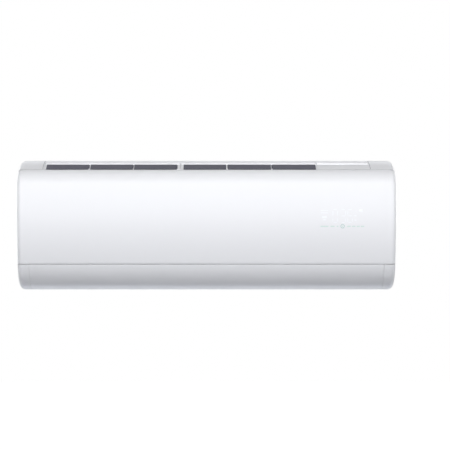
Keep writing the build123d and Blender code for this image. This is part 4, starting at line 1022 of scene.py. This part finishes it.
@dataclass
class DisplayMarks:
    """Numbers and marks of the display as they show through the panel's skin."""

    outline: Outline
    surfaces: Surfaces
    height: float = 20.8
    rise: float = 14.8
    wide: float = 10.4
    thick: float = 1.5
    stroke_gap: float = 1.4
    proud: float = 0.05
    set_in: float = 0.3
    digits_at: tuple[tuple[str, float], ...] = (("0", 294.0), ("3", 312.5), ("6", 328.0))
    lit: dict[str, str] = field(default_factory=lambda: {"0": "abcdef", "3": "abcdg", "6": "acdefg"})
    marks: tuple[tuple[Point, float, float], ...] = (
        ((261.0, 278.0), 12.5, 1.6), ((261.0, 278.0), 7.0, 1.6), ((264.0, 275.0), -2.5, 5.0),
        ((266.5, 272.5), -8.5, 3.0), ((337.5, 342.5), 0.8, 2.4), ((337.5, 342.5), -9.8, 2.4),
        ((348.5, 356.5), 12.0, 6.0))
    row_height: float = -2.7
    dashes: tuple[Point, ...] = (
        (260.5, 278.5), (283.5, 292.5), (297.5, 301.5), (321.5, 329.5), (332.5, 340.5), (343.5, 350.0),
        (353.0, 360.5))
    dash_tall: float = 3.4
    dot: float = 3.2
    ring_x: float = 311.0
    ring_r: float = 4.1
    ring_wire: float = 0.8
    ring_in: float = 0.02

    def build(self) -> list[bpy.types.Object]:
        """Builds the pale digits, the darker row under them and its ring.

        Returns:
            The pieces.
        """
        made = (
            (join("display_digits", [*self.digits(), *self.small_marks()]), "glyph_white"),
            (join("display_row", self.row()), "glyph_teal"), (self.ring(), "glyph_ring"))
        return [self.surfaces.complete(piece, finish, "display", "front_panel") for piece, finish in made]

    def stroke(self, x: Point, height: float, tall: float) -> bpy.types.Object:
        """One stroke, a hair proud of the skin.

        Args:
            x: where it starts and ends across.
            height: its middle's height.
            tall: how far it reaches up and down in all.

        Returns:
            The stroke.
        """
        front = self.outline.front_at(height) + self.proud
        return bar("stroke", x, (front - self.set_in, front), centred(height, tall), edge=0.05)

    def digits(self) -> list[bpy.types.Object]:
        """Thin seven-stroke digits.

        Returns:
            Every stroke.
        """
        made = []
        side, tall = self.wide / 2, self.rise - self.thick * self.stroke_gap
        for digit, x in self.digits_at:
            flat = (x - side + self.thick, x + side - self.thick)
            left, right = centred(x - side, self.thick), centred(x + side, self.thick)
            places = {
                "a": (flat, self.rise, self.thick), "g": (flat, 0.0, self.thick), "d": (flat, -self.rise, self.thick),
                "f": (left, self.rise / 2, tall), "b": (right, self.rise / 2, tall),
                "e": (left, -self.rise / 2, tall), "c": (right, -self.rise / 2, tall),
            }
            for name in self.lit[digit]:
                span, up, reach = places[name]
                made.append(self.stroke(span, self.height + up, reach))
        return made

    def small_marks(self) -> list[bpy.types.Object]:
        """Small marks on both sides of the digits."""
        return [self.stroke(span, self.height + up, tall) for span, up, tall in self.marks]

    def row(self) -> list[bpy.types.Object]:
        """Row of short dashes and the dot inside the ring."""
        made = [self.stroke(span, self.row_height, self.dash_tall) for span in self.dashes]
        return [*made, self.stroke(centred(self.ring_x, self.dot), self.row_height, self.dot)]

    def ring(self) -> bpy.types.Object:
        """Ring in the middle of the row.

        Returns:
            The ring.
        """
        rest()
        front = self.outline.front_at(self.row_height) - self.ring_in
        bpy.ops.mesh.primitive_torus_add(
            major_radius=self.ring_r * MM, minor_radius=self.ring_wire * MM, major_segments=32, minor_segments=8,
            location=place(self.ring_x, front, self.row_height), rotation=OUT_FROM_WALL)
        ring = start_piece("display_ring")
        smooth(ring)
        return ring


# ---------------------------------------------------------------- outlet flap
@dataclass
class OutletFlap:
    """The curved flap under the panel, with its nose tube, ribs, end pin and middle pin."""

    outline: Outline
    surfaces: Surfaces
    pivot: Point = (126.13, -143.0)
    half: float = 407.45
    arc_steps: int = 40
    rim_turn: float = 2.0
    rim_deep: float = 8.0
    nose_r: float = 8.0
    support_x: float = -60.0
    support_wide: float = 6.0
    support_room: float = 1.5
    rib_t: float = 2.4
    rib_angles: Point = (104.0, 170.0)
    rib_insets: Point = (1.2, 5.9)
    end_pin_out: float = 3.2
    end_pin_in: float = 1.0
    end_pin_r: float = 3.0
    middle_pin_wide: float = 8.0
    middle_pin_r: float = 2.0

    @property
    def support(self) -> Point:
        """Where the middle support starts and ends across."""
        return centred(self.support_x, self.support_wide)

    def build(self) -> list[bpy.types.Object]:
        """Builds the flap's outer moulding."""
        flap = join("flap_moulding", [self.skin(), *self.nose(), *self.ribs(), *self.pins()])
        return [self.surfaces.complete(flap, "white_shell", "white_shell", "flap", "outlet_flap")]

    def skin(self) -> bpy.types.Object:
        """Curved skin from the seam under the panel to the nose.

        Returns:
            The skin.
        """
        line = self.outline
        centre, radius = line.flap_c, line.flap_r
        start = math.degrees(math.acos((line.bulge_low[1] - line.half_seam - centre[1]) / radius))
        inside = -line.top + line.wall
        pen = SidePen("flap_skin", along(centre, unit(start), radius))
        pen.arc(centre, 180 - start, self.arc_steps)
        for point in ((self.pivot[0], -line.top), (self.pivot[0], inside), (centre[0], inside)):
            pen.line(point)
        pen.arc(centre, -(180 - start - self.rim_turn), self.arc_steps)
        for angle in (start + self.rim_turn, start):
            pen.line(along(centre, unit(angle), radius - self.rim_deep))
        skin = pen.face((-self.half, self.half))
        room = self.nose_r + self.support_room
        carve(skin, round_bar("cutter", self.support, self.pivot, room, self.arc_steps, edge=0))
        soften(skin, width=0.5, segments=3)
        return skin

    def nose(self) -> list[bpy.types.Object]:
        """Tube round the turning axis, parted at the middle support.

        Returns:
            Both parts of the tube.
        """
        left, right = self.support
        return [
            round_bar("nose", span, self.pivot, self.nose_r, self.arc_steps, edge=0.4)
            for span in ((-self.half, left), (right, self.half))]

    def ribs(self) -> list[bpy.types.Object]:
        """Ribs between the skin and the liner.

        Returns:
            The ribs.
        """
        line = self.outline
        first, second = (line.flap_r - inset for inset in self.rib_insets)
        made = []
        for x in (-self.half, -self.half / 2, -self.rib_t / 2, self.half / 2, self.half - self.rib_t):
            span = (x, x + self.rib_t)
            rib = band("flap_rib", line.flap_c, (first, second), self.rib_angles, steps=20, x=span)
            smooth(rib)
            made.append(rib)
        return made

    def pins(self) -> list[bpy.types.Object]:
        """Left end pin and the pin in the middle support.

        Returns:
            Both pins.
        """
        end = (-self.half - self.end_pin_out, -self.half + self.end_pin_in)
        middle = centred(self.support_x, self.middle_pin_wide)
        return [
            round_bar("flap_pin", end, self.pivot, self.end_pin_r),
            round_bar("middle_pin", middle, self.pivot, self.middle_pin_r)]


# ---------------------------------------------------------------- top band
@dataclass
class CapNets:
    """Nets laid over the cells in the filters' caps, up to the panel's upper edge."""

    outline: Outline
    surfaces: Surfaces
    angles: Point = (21.3, 31.7)
    thick: float = 0.45
    proud: float = 0.05
    cells: dict[str, tuple[Point, ...]] = field(default_factory=lambda: {
        "filter_left": ((-369.8, -272.4), (-268.2, -170.2), (-167.4, -68.4)),
        "filter_right": ((-52.9, 45.5), (49.2, 148.8), (152.4, 252.2))})

    def build(self) -> list[bpy.types.Object]:
        """Builds three nets on each filter.

        Returns:
            The pieces.
        """
        made = []
        for body, spans in self.cells.items():
            nets = join(f"{body}_cap_nets", [self.net(span) for span in spans])
            made.append(self.surfaces.complete(nets, "cap_net", "filter_mesh", body))
        return made

    def net(self, span: Point) -> bpy.types.Object:
        """One net that follows the sloping top.

        Args:
            span: where it starts and ends across.

        Returns:
            The net.
        """
        outer = self.outline.top_r + self.proud
        net = band("cap_net", self.outline.top_c, (outer, outer - self.thick), self.angles, steps=14, x=span)
        smooth(net)
        return net


@dataclass
class TopTrim:
    """Lips along the top band and the edges where the casing's end caps begin, each edge with a dark strip of painted
    shadow beside it where the gap lies in shade.
    """

    outline: Outline
    surfaces: Surfaces
    lip_depth: Point = (160.9, 165.4)
    lip_height: Point = (139.6, 143.8)
    lips: dict[str, Point] = field(default_factory=lambda: {
        "filter_left": (-372.5, -61.6), "filter_right": (-58.4, 252.8), "root": (255.2, 374.6)})
    cap_x: float = 376.4
    edge_wide: float = 1.0
    shadow_wide: float = 1.1
    angles: Point = (6.5, 31.2)
    edge_proud: float = 0.55
    shadow_proud: float = 0.04
    set_in: float = 0.3

    def build(self) -> list[bpy.types.Object]:
        """Builds the filters' finger lips, the closed band's lip, and at both end caps a raised edge with a dark
        strip of painted shadow beside it for the shade in the gap.

        Returns:
            The pieces.
        """
        made = []
        for body, span in self.lips.items():
            lip = bar(f"{body}_lip", span, self.lip_depth, self.lip_height, edge=0.7)
            finish = "white_shell" if body == "root" else "filter_frame"
            made.append(self.surfaces.complete(lip, finish, finish, body))
        edges, gap_shadows = [], []
        for side in SIDES:
            x = side * self.cap_x
            shadow_start = x + side * self.edge_wide / 2
            edges.append(self.strip(centred(x, self.edge_wide), self.edge_proud))
            # dark strip of painted shadow beside each raised edge, where the gap between end cap and top lies in
            # shade
            gap_shadows.append(self.strip(between(shadow_start, shadow_start + side * self.shadow_wide), self.shadow_proud))
        for edge in edges:
            soften(edge, width=0.2)
        for name, strips, finish in (("cap_edges", edges, "white_shell"), ("cap_gaps", gap_shadows, "painted_gap_shadow")):
            made.append(self.surfaces.complete(join(name, strips), finish, "white_shell", "root"))
        return made

    def strip(self, x: Point, proud: float) -> bpy.types.Object:
        """Strip that follows the sloping top.

        Args:
            x: where it starts and ends across.
            proud: how far it stands proud.

        Returns:
            The strip.
        """
        top = self.outline.top_r
        radii = (top + proud, top - self.set_in)
        return band("top_strip", self.outline.top_c, radii, self.angles, steps=20, x=x)


# ---------------------------------------------------------------- heat exchanger
@dataclass
class FinBlocks:
    """Stacks of thin fins that stand for the three solid blocks."""

    surfaces: Surfaces
    pitch: float = 1.5
    sheet: float = 0.4
    margin: float = 0.4
    upright: str = "evaporator_front_lower"
    slanting: tuple[str, ...] = ("evaporator_front_upper", "evaporator_rear")

    def build(self) -> list[bpy.types.Object]:
        """Builds each block's fins."""
        return [self.stack(node) for node in (self.upright, *self.slanting)]

    def corners(self, node: str) -> list[Vector]:
        """Corners of a block's section, found on its own CAD solid.

        Args:
            node: the block's node.

        Returns:
            The four corners in order round the section.
        """
        points = [vertex.co for vertex in bpy.data.objects[node].data.vertices]
        left = min(point.x for point in points)
        flat = [point for point in points if point.x < left + NEAR]
        low, high = min(flat, key=lambda point: point.z), max(flat, key=lambda point: point.z)
        front, back = min(flat, key=lambda point: point.y), max(flat, key=lambda point: point.y)
        if node == self.upright:
            return [Vector((left, y, z)) for y, z in (
                (front.y, low.z), (back.y, low.z), (back.y, high.z), (front.y, high.z))]
        return [low, front, high, back]

    def stack(self, node: str) -> bpy.types.Object:
        """Fins of one block, from one fin that is copied along the width.

        Args:
            node: the block's node.

        Returns:
            The fins as one piece.
        """
        (left, _, _), (right, _, _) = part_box(node)
        margin = self.margin * MM
        corners = self.corners(node)
        rest()
        bpy.ops.mesh.primitive_plane_add(size=1, location=(0, 0, 0))
        fin = start_piece(f"{node}_fins")
        for vertex, corner in zip((0, 1, 3, 2), corners):
            fin.data.vertices[vertex].co = (left + margin, corner.y, corner.z)
        edit_all(fin)
        bpy.ops.mesh.extrude_region_move(TRANSFORM_OT_translate={"value": (self.sheet * MM, 0, 0)})
        bpy.ops.mesh.select_all(action="SELECT")
        bpy.ops.mesh.normals_make_consistent(inside=False)
        rest()
        count = int((right - left - 2 * margin) / (self.pitch * MM))
        apply(fin, "ARRAY", count=count, use_relative_offset=False, use_constant_offset=True,
              constant_offset_displace=(self.pitch * MM, 0, 0))
        return self.surfaces.complete(fin, "fins", "fins", "root", node)


# ---------------------------------------------------------------- screws
@dataclass(frozen=True)
class ScrewSpot:
    """Place of a screw across and up, and its front and back out from the wall, in millimetres."""

    x: float
    height: float
    front: float
    back: float


@dataclass
class Screws:
    """Pan-head screws with a cross recess, set where the CAD has its plain ones."""

    surfaces: Surfaces
    head_t: float = 2.0
    head_round: float = 0.85
    recess: float = 1.3
    arm_share: float = 0.62
    slot_w: float = 0.95
    lap: float = 0.4
    tip_round: float = 0.6
    apart: float = 9.0
    nodes: tuple[tuple[str, float, float], ...] = (("casing_screws", 4.0, 1.9), ("chassis_screws", 3.0, 1.45))

    def build(self) -> list[bpy.types.Object]:
        """Builds each group of screws as one piece.

        Returns:
            The pieces.
        """
        made = []
        for node, head_r, shaft_r in self.nodes:
            screws = join(f"{node}_cross", [self.screw(spot, head_r, shaft_r) for spot in self.spots(node)])
            made.append(self.surfaces.complete(screws, "steel", "steel", "root", node))
        return made

    def spots(self, node: str) -> list[ScrewSpot]:
        """Places of a group's screws, read off its CAD solid.

        Args:
            node: the group's node.

        Returns:
            One place for each screw.
        """
        groups: list[list[Vector]] = []
        for vertex in bpy.data.objects[node].data.vertices:
            near = [group for group in groups if math.hypot(
                group[0].x - vertex.co.x, group[0].z - vertex.co.z) < self.apart * MM]
            if near:
                near[0].append(vertex.co)
            else:
                groups.append([vertex.co])
        found = []
        for group in groups:
            across, depths, up = zip(*((co.x / MM, -co.y / MM, co.z / MM) for co in group))
            found.append(ScrewSpot(
                mid((min(across), max(across))), mid((min(up), max(up))), max(depths), min(depths)))
        return found

    def screw(self, spot: ScrewSpot, head_r: float, shaft_r: float) -> bpy.types.Object:
        """One screw.

        Args:
            spot: its place.
            head_r: radius of its head.
            shaft_r: radius of its shaft.

        Returns:
            The screw, its head's rim rounded and the cross cut into it.
        """
        seat = spot.front - self.head_t
        head = peg("screw_head", spot.x, spot.height, (seat, spot.front), head_r, sides=28)
        soften(head, self.head_round, segments=4)
        cross = (2 * head_r * self.arm_share, self.slot_w)
        for wide, tall in (cross, cross[::-1]):
            carve(head, bar("cutter", centred(spot.x, wide), (spot.front - self.recess, spot.front + 1),
                            centred(spot.height, tall), edge=0))
        shaft = peg("screw_shaft", spot.x, spot.height, (spot.back, seat + self.lap), shaft_r, sides=16)
        soften(shaft, self.tip_round)
        return join("screw", [head, shaft])


# ---------------------------------------------------------------- electrics
@dataclass(frozen=True)
class BoardPart:
    """Box on the control board, in millimetres.

    Args:
        at: its middle, out from the board's middle and up from its lower edge.
        size: its size outwards and upwards.
        reach: where it starts and ends, off the board's face.
        edge: width of its rounded edges.
    """

    at: Point
    size: Point
    reach: Point
    edge: float = 0.2

    def row(self, step: Point, count: int) -> list["BoardPart"]:
        """The part and its copies in a row, each a step outwards and upwards from the last."""
        return [
            replace(self, at=(self.at[0] + step[0] * turn, self.at[1] + step[1] * turn)) for turn in range(count)]


def finish_board(
    surfaces: Surfaces, node: str, groups: dict[str, tuple[str, Iterable[bpy.types.Object]]]
) -> list[bpy.types.Object]:
    """Joins a board's parts by their finish, and lets its plate stand for the CAD board.

    Args:
        surfaces: the materials.
        node: the board's node.
        groups: finish and parts of each piece, by the end of its name.

    Returns:
        The pieces.
    """
    return [
        surfaces.complete(join(f"{node}_{part}", pieces), finish, "board", "root", node if part == "plate" else "")
        for part, (finish, pieces) in groups.items()]


@dataclass
class ControlBoard:
    """Upright board with relays, capacitors, transformer, heat sink, sockets and small parts."""

    surfaces: Surfaces
    node: str = "control_board"
    board_t: float = 1.6
    hole_in: float = 5.0
    hole_r: float = 1.7
    relays: tuple[BoardPart, ...] = (
        BoardPart((-38, 22), (20, 20), (0, 18), 0.8), BoardPart((34, 66), (14, 14), (0, 10), 0.6))
    chips: tuple[BoardPart, ...] = (
        BoardPart((-2, 36), (12, 8), (0.3, 2.4)), BoardPart((-50, 44), (7, 12), (0.3, 2.0)))
    leg_pitch: float = 1.27
    leg_count: int = 9
    leg_start: float = 5.1
    leg_rows: Point = (4.6, 4.1)
    leg_size: Point = (0.5, 1.4)
    core: tuple[BoardPart, ...] = (
        BoardPart((26, 24), (26, 26), (0, 9), 0.5), BoardPart((26, 24), (26, 26), (17, 24), 0.5))
    winding: BoardPart = BoardPart((26, 24), (22, 22), (8.5, 17.5), 2.2)
    sockets: tuple[BoardPart, ...] = (
        BoardPart((-10, 18), (16, 7), (0, 7.5), 0.3), BoardPart((8, 6), (24, 7), (0, 7.5), 0.3),
        BoardPart((-16, 96), (20, 7), (0, 7.5), 0.3))
    pin_pitch: float = 2.5
    pin_start: float = 2.0
    pin_size: Point = (0.7, 0.7)
    pin_reach: Point = (7.0, 8.6)
    sink: BoardPart = BoardPart((-30, 62), (30, 30), (0, 3))
    sink_fin: BoardPart = BoardPart((-43.8, 62), (1.3, 30), (2.8, 12))
    sink_pitch: float = 4.6
    sink_fins: int = 7
    chip_resistor: BoardPart = BoardPart((-20, 60), (3.2, 1.7), (0, 1.1), 0.15)
    resistor_step: Point = (6.0, 5.0)
    cans_at: tuple[Point, ...] = ((2, 50), (14, 74))
    can_tall: float = 20.0
    can_r: float = 7.0
    dish_r: float = 5.6
    dish_deep: float = 0.6
    lid_r: float = 5.5
    score: Point = (8.5, 0.5)

    @property
    def face(self) -> float:
        """Where the board's face stands across."""
        return limits(self.node)[0][0] + self.board_t

    def build(self) -> list[bpy.types.Object]:
        """Builds the board and its parts, one piece for each finish.

        Returns:
            The pieces.
        """
        resistors = [
            part for column in self.chip_resistor.row((0, self.resistor_step[1]), 3)
            for part in column.row((self.resistor_step[0], 0), 3)]
        fins = self.sink_fin.row((self.sink_pitch, 0), self.sink_fins)
        plate, black = [self.plate()], self.blocks(*self.relays, *self.chips, *self.core, *resistors)
        metal = self.blocks(*self.pins(), self.sink, *fins)
        sockets, winding = self.blocks(*self.sockets), self.blocks(self.winding)
        cans, lids = zip(*(self.can(at) for at in self.cans_at))
        return finish_board(self.surfaces, self.node, {
            "plate": ("board", plate), "black": ("rubber", black), "sockets": ("white_inner", sockets),
            "metal": ("steel", [*metal, *lids]), "sleeves": ("sleeve_blue", cans),
            "winding": ("tape_yellow", winding),
        })

    def spot(self, at: Point) -> Point:
        """Depth and height of a place that is given from the board's middle and its lower edge."""
        _, depth, up = limits(self.node)
        return mid(depth) + at[0], up[0] + at[1]

    def blocks(self, *parts: BoardPart) -> list[bpy.types.Object]:
        """Boxes of the parts, each in its place on the board.

        Args:
            parts: the parts.

        Returns:
            One box for each part.
        """
        made = []
        for part in parts:
            depth, height = self.spot(part.at)
            reach = (self.face + part.reach[0], self.face + part.reach[1])
            made.append(bar("part", reach, centred(depth, part.size[0]), centred(height, part.size[1]), part.edge))
        return made

    def plate(self) -> bpy.types.Object:
        """The board itself, with a hole near each corner.

        Returns:
            The board.
        """
        across, depth, up = limits(self.node)
        plate = bar("part", (across[0], self.face), depth, up, edge=0.1)
        through = (across[0] - 1, self.face + 1)
        for at in shrunk(depth, self.hole_in):
            for height in shrunk(up, self.hole_in):
                carve(plate, round_bar("cutter", through, (at, height), self.hole_r, sides=24, edge=0))
        return plate

    def pins(self) -> list[BoardPart]:
        """Legs of both chips and pins of the sockets.

        Returns:
            Every leg and pin.
        """
        lying, standing = self.chips
        made = []
        for side in SIDES:
            first = (lying.at[0] - self.leg_start, lying.at[1] + side * self.leg_rows[0])
            leg = BoardPart(first, self.leg_size, (-0.2, 1.2), edge=0)
            made += leg.row((self.leg_pitch, 0), self.leg_count)
        for side in SIDES:
            first = (standing.at[0] + side * self.leg_rows[1], standing.at[1] - self.leg_start)
            leg = BoardPart(first, self.leg_size[::-1], (-0.2, 1.0), edge=0)
            made += leg.row((0, self.leg_pitch), self.leg_count)
        for socket in self.sockets:
            wide = socket.size[0]
            first = (socket.at[0] - wide / 2 + self.pin_start, socket.at[1])
            pin = BoardPart(first, self.pin_size, self.pin_reach, edge=0)
            made += pin.row((self.pin_pitch, 0), int(wide / self.pin_pitch) - 1)
        return made

    def can(self, at: Point) -> tuple[bpy.types.Object, bpy.types.Object]:
        """Capacitor with a dished end.

        Args:
            at: its place from the board's middle and its lower edge.

        Returns:
            Its sleeve, and the scored lid in the dish.
        """
        face, centre = self.face, self.spot(at)
        top = face + self.can_tall
        sleeve = round_bar("can", (face, top), centre, self.can_r, sides=36, edge=1.1)
        carve(sleeve, round_bar("cutter", (top - self.dish_deep, top + 2), centre, self.dish_r, edge=0))
        lid = round_bar("lid", (top - 1, top - self.dish_deep / 2), centre, self.lid_r, edge=0.15)
        for wide, tall in (self.score, self.score[::-1]):
            depth, height = centred(centre[0], wide), centred(centre[1], tall)
            carve(lid, bar("cutter", (top - 0.5, top + 1), depth, height, edge=0))
        return sleeve, lid


@dataclass
class DisplayBoard:
    """Board behind the panel with three light modules, their windows set in."""

    surfaces: Surfaces
    node: str = "display_board"
    board_t: float = 1.6
    hole_in: float = 3.5
    hole_r: float = 1.3
    digit_x: float = 16.0
    digit_wide: float = 28.0
    digit_up: Point = (24.4, 6.4)
    row_wide: float = 70.0
    row_up: Point = (4.4, 18.4)
    rim: float = 2.0
    window_deep: Point = (1.2, 0.5)
    recess: float = 0.8

    def build(self) -> list[bpy.types.Object]:
        """Builds the board, the modules' cases and their windows.

        Returns:
            The pieces.
        """
        across, depth, up = limits(self.node)
        face = depth[0] + self.board_t
        plate = bar("part", across, (depth[0], face), up, edge=0.1)
        for x in shrunk(across, self.hole_in):
            for height in shrunk(up, self.hole_in):
                carve(plate, peg("cutter", x, height, (depth[0] - 1, face + 1), self.hole_r, sides=20))
        digits_up = (up[0] + self.digit_up[0], up[1] - self.digit_up[1])
        spans = [(centred(mid(across) + side * self.digit_x, self.digit_wide), digits_up) for side in SIDES]
        spans.append((centred(mid(across), self.row_wide), (up[0] + self.row_up[0], up[0] + self.row_up[1])))
        cases, windows = zip(*(self.module(x, height, (face, depth[1])) for x, height in spans))
        return finish_board(self.surfaces, self.node, {
            "plate": ("board", [plate]), "cases": ("rubber", cases), "windows": ("display", windows)})

    def module(self, x: Point, up: Point, depth: Point) -> tuple[bpy.types.Object, bpy.types.Object]:
        """Light module.

        Args:
            x: where it starts and ends across.
            up: where it starts and ends upwards.
            depth: where it starts and ends out from the wall.

        Returns:
            Its case, and the window set in it.
        """
        front = depth[1]
        inside = (shrunk(x, self.rim), shrunk(up, self.rim))
        case = bar("case", x, depth, up, edge=0.4)
        carve(case, bar("cutter", inside[0], (front - self.recess, front + 1), inside[1], edge=0))
        span = (front - self.window_deep[0], front - self.window_deep[1])
        return case, bar("window", inside[0], span, inside[1], edge=0.1)


@dataclass
class TerminalScrews:
    """Cross-head screw in each bay of the terminal block."""

    surfaces: Surfaces
    screws: Screws
    node: str = "terminal_block"
    bays: int = 4
    up: float = 7.0
    front: float = 1.6
    back: float = 6.0
    head_r: float = 3.2
    shaft_r: float = 1.6

    def build(self) -> list[bpy.types.Object]:
        """Builds the screws as one piece.

        Returns:
            The piece.
        """
        across, depth, up = limits(self.node)
        pitch = (across[1] - across[0]) / self.bays
        made = []
        for bay in range(self.bays):
            x = across[0] + pitch * (bay + 0.5)
            spot = ScrewSpot(x, up[0] + self.up, depth[1] + self.front, depth[1] - self.back)
            made.append(self.screws.screw(spot, self.head_r, self.shaft_r))
        return [self.surfaces.complete(join("terminal_screws", made), "brass", "steel", "root")]


# ---------------------------------------------------------------- CAD pieces that stay
@dataclass
class CarriedPieces:
    """CAD nodes whose shape is right: each gets its finish."""

    surfaces: Surfaces
    record: dict[str, Any]
    own: dict[str, str] = field(default_factory=lambda: {"mounting_plate": "pressed_plate"})

    def dress(self) -> int:
        """Dresses every CAD node that still shows by its slot in the record, or with its own finish.

        Returns:
            How many nodes were dressed.
        """
        finishes = {entry["node"]: entry["material_slot"] for entry in self.record["subparts"]} | self.own
        shown = [node for node in finishes if not bpy.data.objects[node].hide_render]
        for node in shown:
            self.surfaces.dress(bpy.data.objects[node], finishes[node])
        return len(shown)


# ---------------------------------------------------------------- studio
@dataclass(frozen=True)
class Softbox:
    """One area lamp: where it stands, where it looks, how wide and tall it is, its power and its colour."""

    name: str
    spot: tuple[float, float, float]
    aim: tuple[float, float, float]
    size: Point
    energy: float
    colour: Colour


SOFTBOXES = (
    Softbox("front_level", (0, -0.8, 0.05), (0, -0.2, 0.02), (3.4, 0.2), 5.2, (0.92, 0.938, 1.0)),
    Softbox("front_raised", (0, -0.7, 0.25), (0, -0.2, 0.03), (3.4, 0.2), 6.2, (0.99, 0.99, 0.965)),
    Softbox("front_high", (0, -0.98, 0.8), (0, -0.2, 0.1), (3.4, 0.36), 1.4, (1.0, 0.985, 0.93)),
    Softbox("top", (0, 0.15, 1.3), (0, -0.05, 0), (3.0, 0.6), 2.95, (0.9, 0.925, 1.0)),
    Softbox("back_top", (0, 1.6, 1.2), (0, 0, 0), (2.4, 0.8), 6.7, (0.9, 0.925, 1.0)),
    Softbox("back_low", (0, 1.1, -1.0), (0, -0.1, -0.1), (2.4, 0.8), 1.4, (0.78, 0.85, 1.0)),
    Softbox("under", (0, 0.5, -0.9), (0, -0.1, -0.1), (2.4, 0.4), 3.5, (0.78, 0.85, 1.0)),
    Softbox("side_left", (-1.3, 0.9, 0.2), (-0.435, -0.1, 0), (0.8, 0.8), 5.0, (0.96, 0.975, 1.0)),
    Softbox("side_right", (1.3, 0.9, 0.2), (0.435, -0.1, 0), (0.8, 0.8), 5.0, (0.96, 0.975, 1.0)),
)


@dataclass
class Studio:
    """Floor, light and camera, in metres; the lens and its sensor are in millimetres."""

    world_level: float = 0.045
    floor_size: float = 14.0
    floor_height: float = -1.15
    floor_grey: float = 0.9
    camera_away: float = 3.5
    sensor: float = 36.0
    lens: float = 115.0
    shift_x: float = 0.041

    def build(self) -> None:
        """Builds the whole studio."""
        self.world()
        self.floor()
        for box in SOFTBOXES:
            self.lamp(box)
        self.camera()

    def lamp(self, box: Softbox) -> None:
        """Soft area lamp that looks at its point.

        Args:
            box: its place, aim, size, power and colour.
        """
        rest()
        bpy.ops.object.light_add(type="AREA", location=box.spot)
        lamp = bpy.context.object
        lamp.name = box.name
        lamp.data.shape = "RECTANGLE"
        lamp.data.size, lamp.data.size_y = box.size
        lamp.data.energy = box.energy
        lamp.data.color = box.colour
        lamp.rotation_euler = (Vector(box.aim) - Vector(box.spot)).to_track_quat("-Z", "Y").to_euler()

    def world(self) -> None:
        """Soft even light all round, and plain white where the camera looks past the object."""
        world = bpy.data.worlds.new("studio")
        bpy.context.scene.world = world
        world.use_nodes = True
        world.node_tree.nodes.clear()
        wiring = Wiring(world.node_tree)
        fill, white = (
            wiring.add("ShaderNodeBackground", {"Color": (1, 1, 1, 1), "Strength": level})
            for level in (self.world_level, 1.0))
        mix = wiring.mix(wiring.seen(), fill, white)
        wiring.add("ShaderNodeOutputWorld", {"Surface": mix.outputs[0]})

    def floor(self) -> None:
        """Pale floor under the hanging unit, clear from below."""
        rest()
        bpy.ops.mesh.primitive_plane_add(size=self.floor_size, location=(0, 0, self.floor_height))
        floor = start_piece("floor")
        made, wiring = new_material("floor_pale")
        plain = wiring.add("ShaderNodeBsdfDiffuse", {"Color": (*[self.floor_grey] * 3, 1)})
        lift = wiring.add("ShaderNodeEmission", {"Color": (1, 1, 1, 1), "Strength": wiring.seen()})
        both = wiring.add("ShaderNodeAddShader", {0: plain.outputs[0], 1: lift.outputs[0]})
        below = wiring.add("ShaderNodeNewGeometry").outputs["Backfacing"]
        mix = wiring.mix(below, both, wiring.add("ShaderNodeBsdfTransparent"))
        wiring.add("ShaderNodeOutputMaterial", {"Surface": mix.outputs[0]})
        floor.data.materials.append(made)

    def camera(self) -> None:
        """Level camera in front of the unit, framed as the photograph is."""
        data = bpy.data.cameras.new("camera")
        camera = bpy.data.objects.new("camera", data)
        bpy.context.scene.collection.objects.link(camera)
        camera.location = (0, -self.camera_away, 0)
        camera.rotation_euler = (math.pi / 2, 0, 0)
        data.sensor_width = self.sensor
        data.lens = self.lens
        data.shift_x = self.shift_x
        bpy.context.scene.camera = camera
        bpy.context.scene.view_settings.view_transform = "Standard"


def main() -> None:
    """Builds the studio and the unit's pieces in order."""
    logging.basicConfig(level=logging.INFO, format="%(name)s %(message)s")
    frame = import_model()
    rest()
    outline, surfaces = Outline(), Surfaces()
    screws = Screws(surfaces)
    Studio().build()
    builders = (
        FrontPanel(outline, surfaces), DisplayMarks(outline, surfaces), OutletFlap(outline, surfaces),
        CapNets(outline, surfaces), TopTrim(outline, surfaces), FinBlocks(surfaces), screws,
        ControlBoard(surfaces), DisplayBoard(surfaces), TerminalScrews(surfaces, screws),
    )
    for builder in builders:
        for piece in builder.build():
            LOG.info("%s: %d faces", piece.name, len(piece.data.polygons))
    LOG.info("dressed %d carried pieces", CarriedPieces(surfaces, frame["record"]).dress())
    rest()


if __name__ == "__main__":
    main()
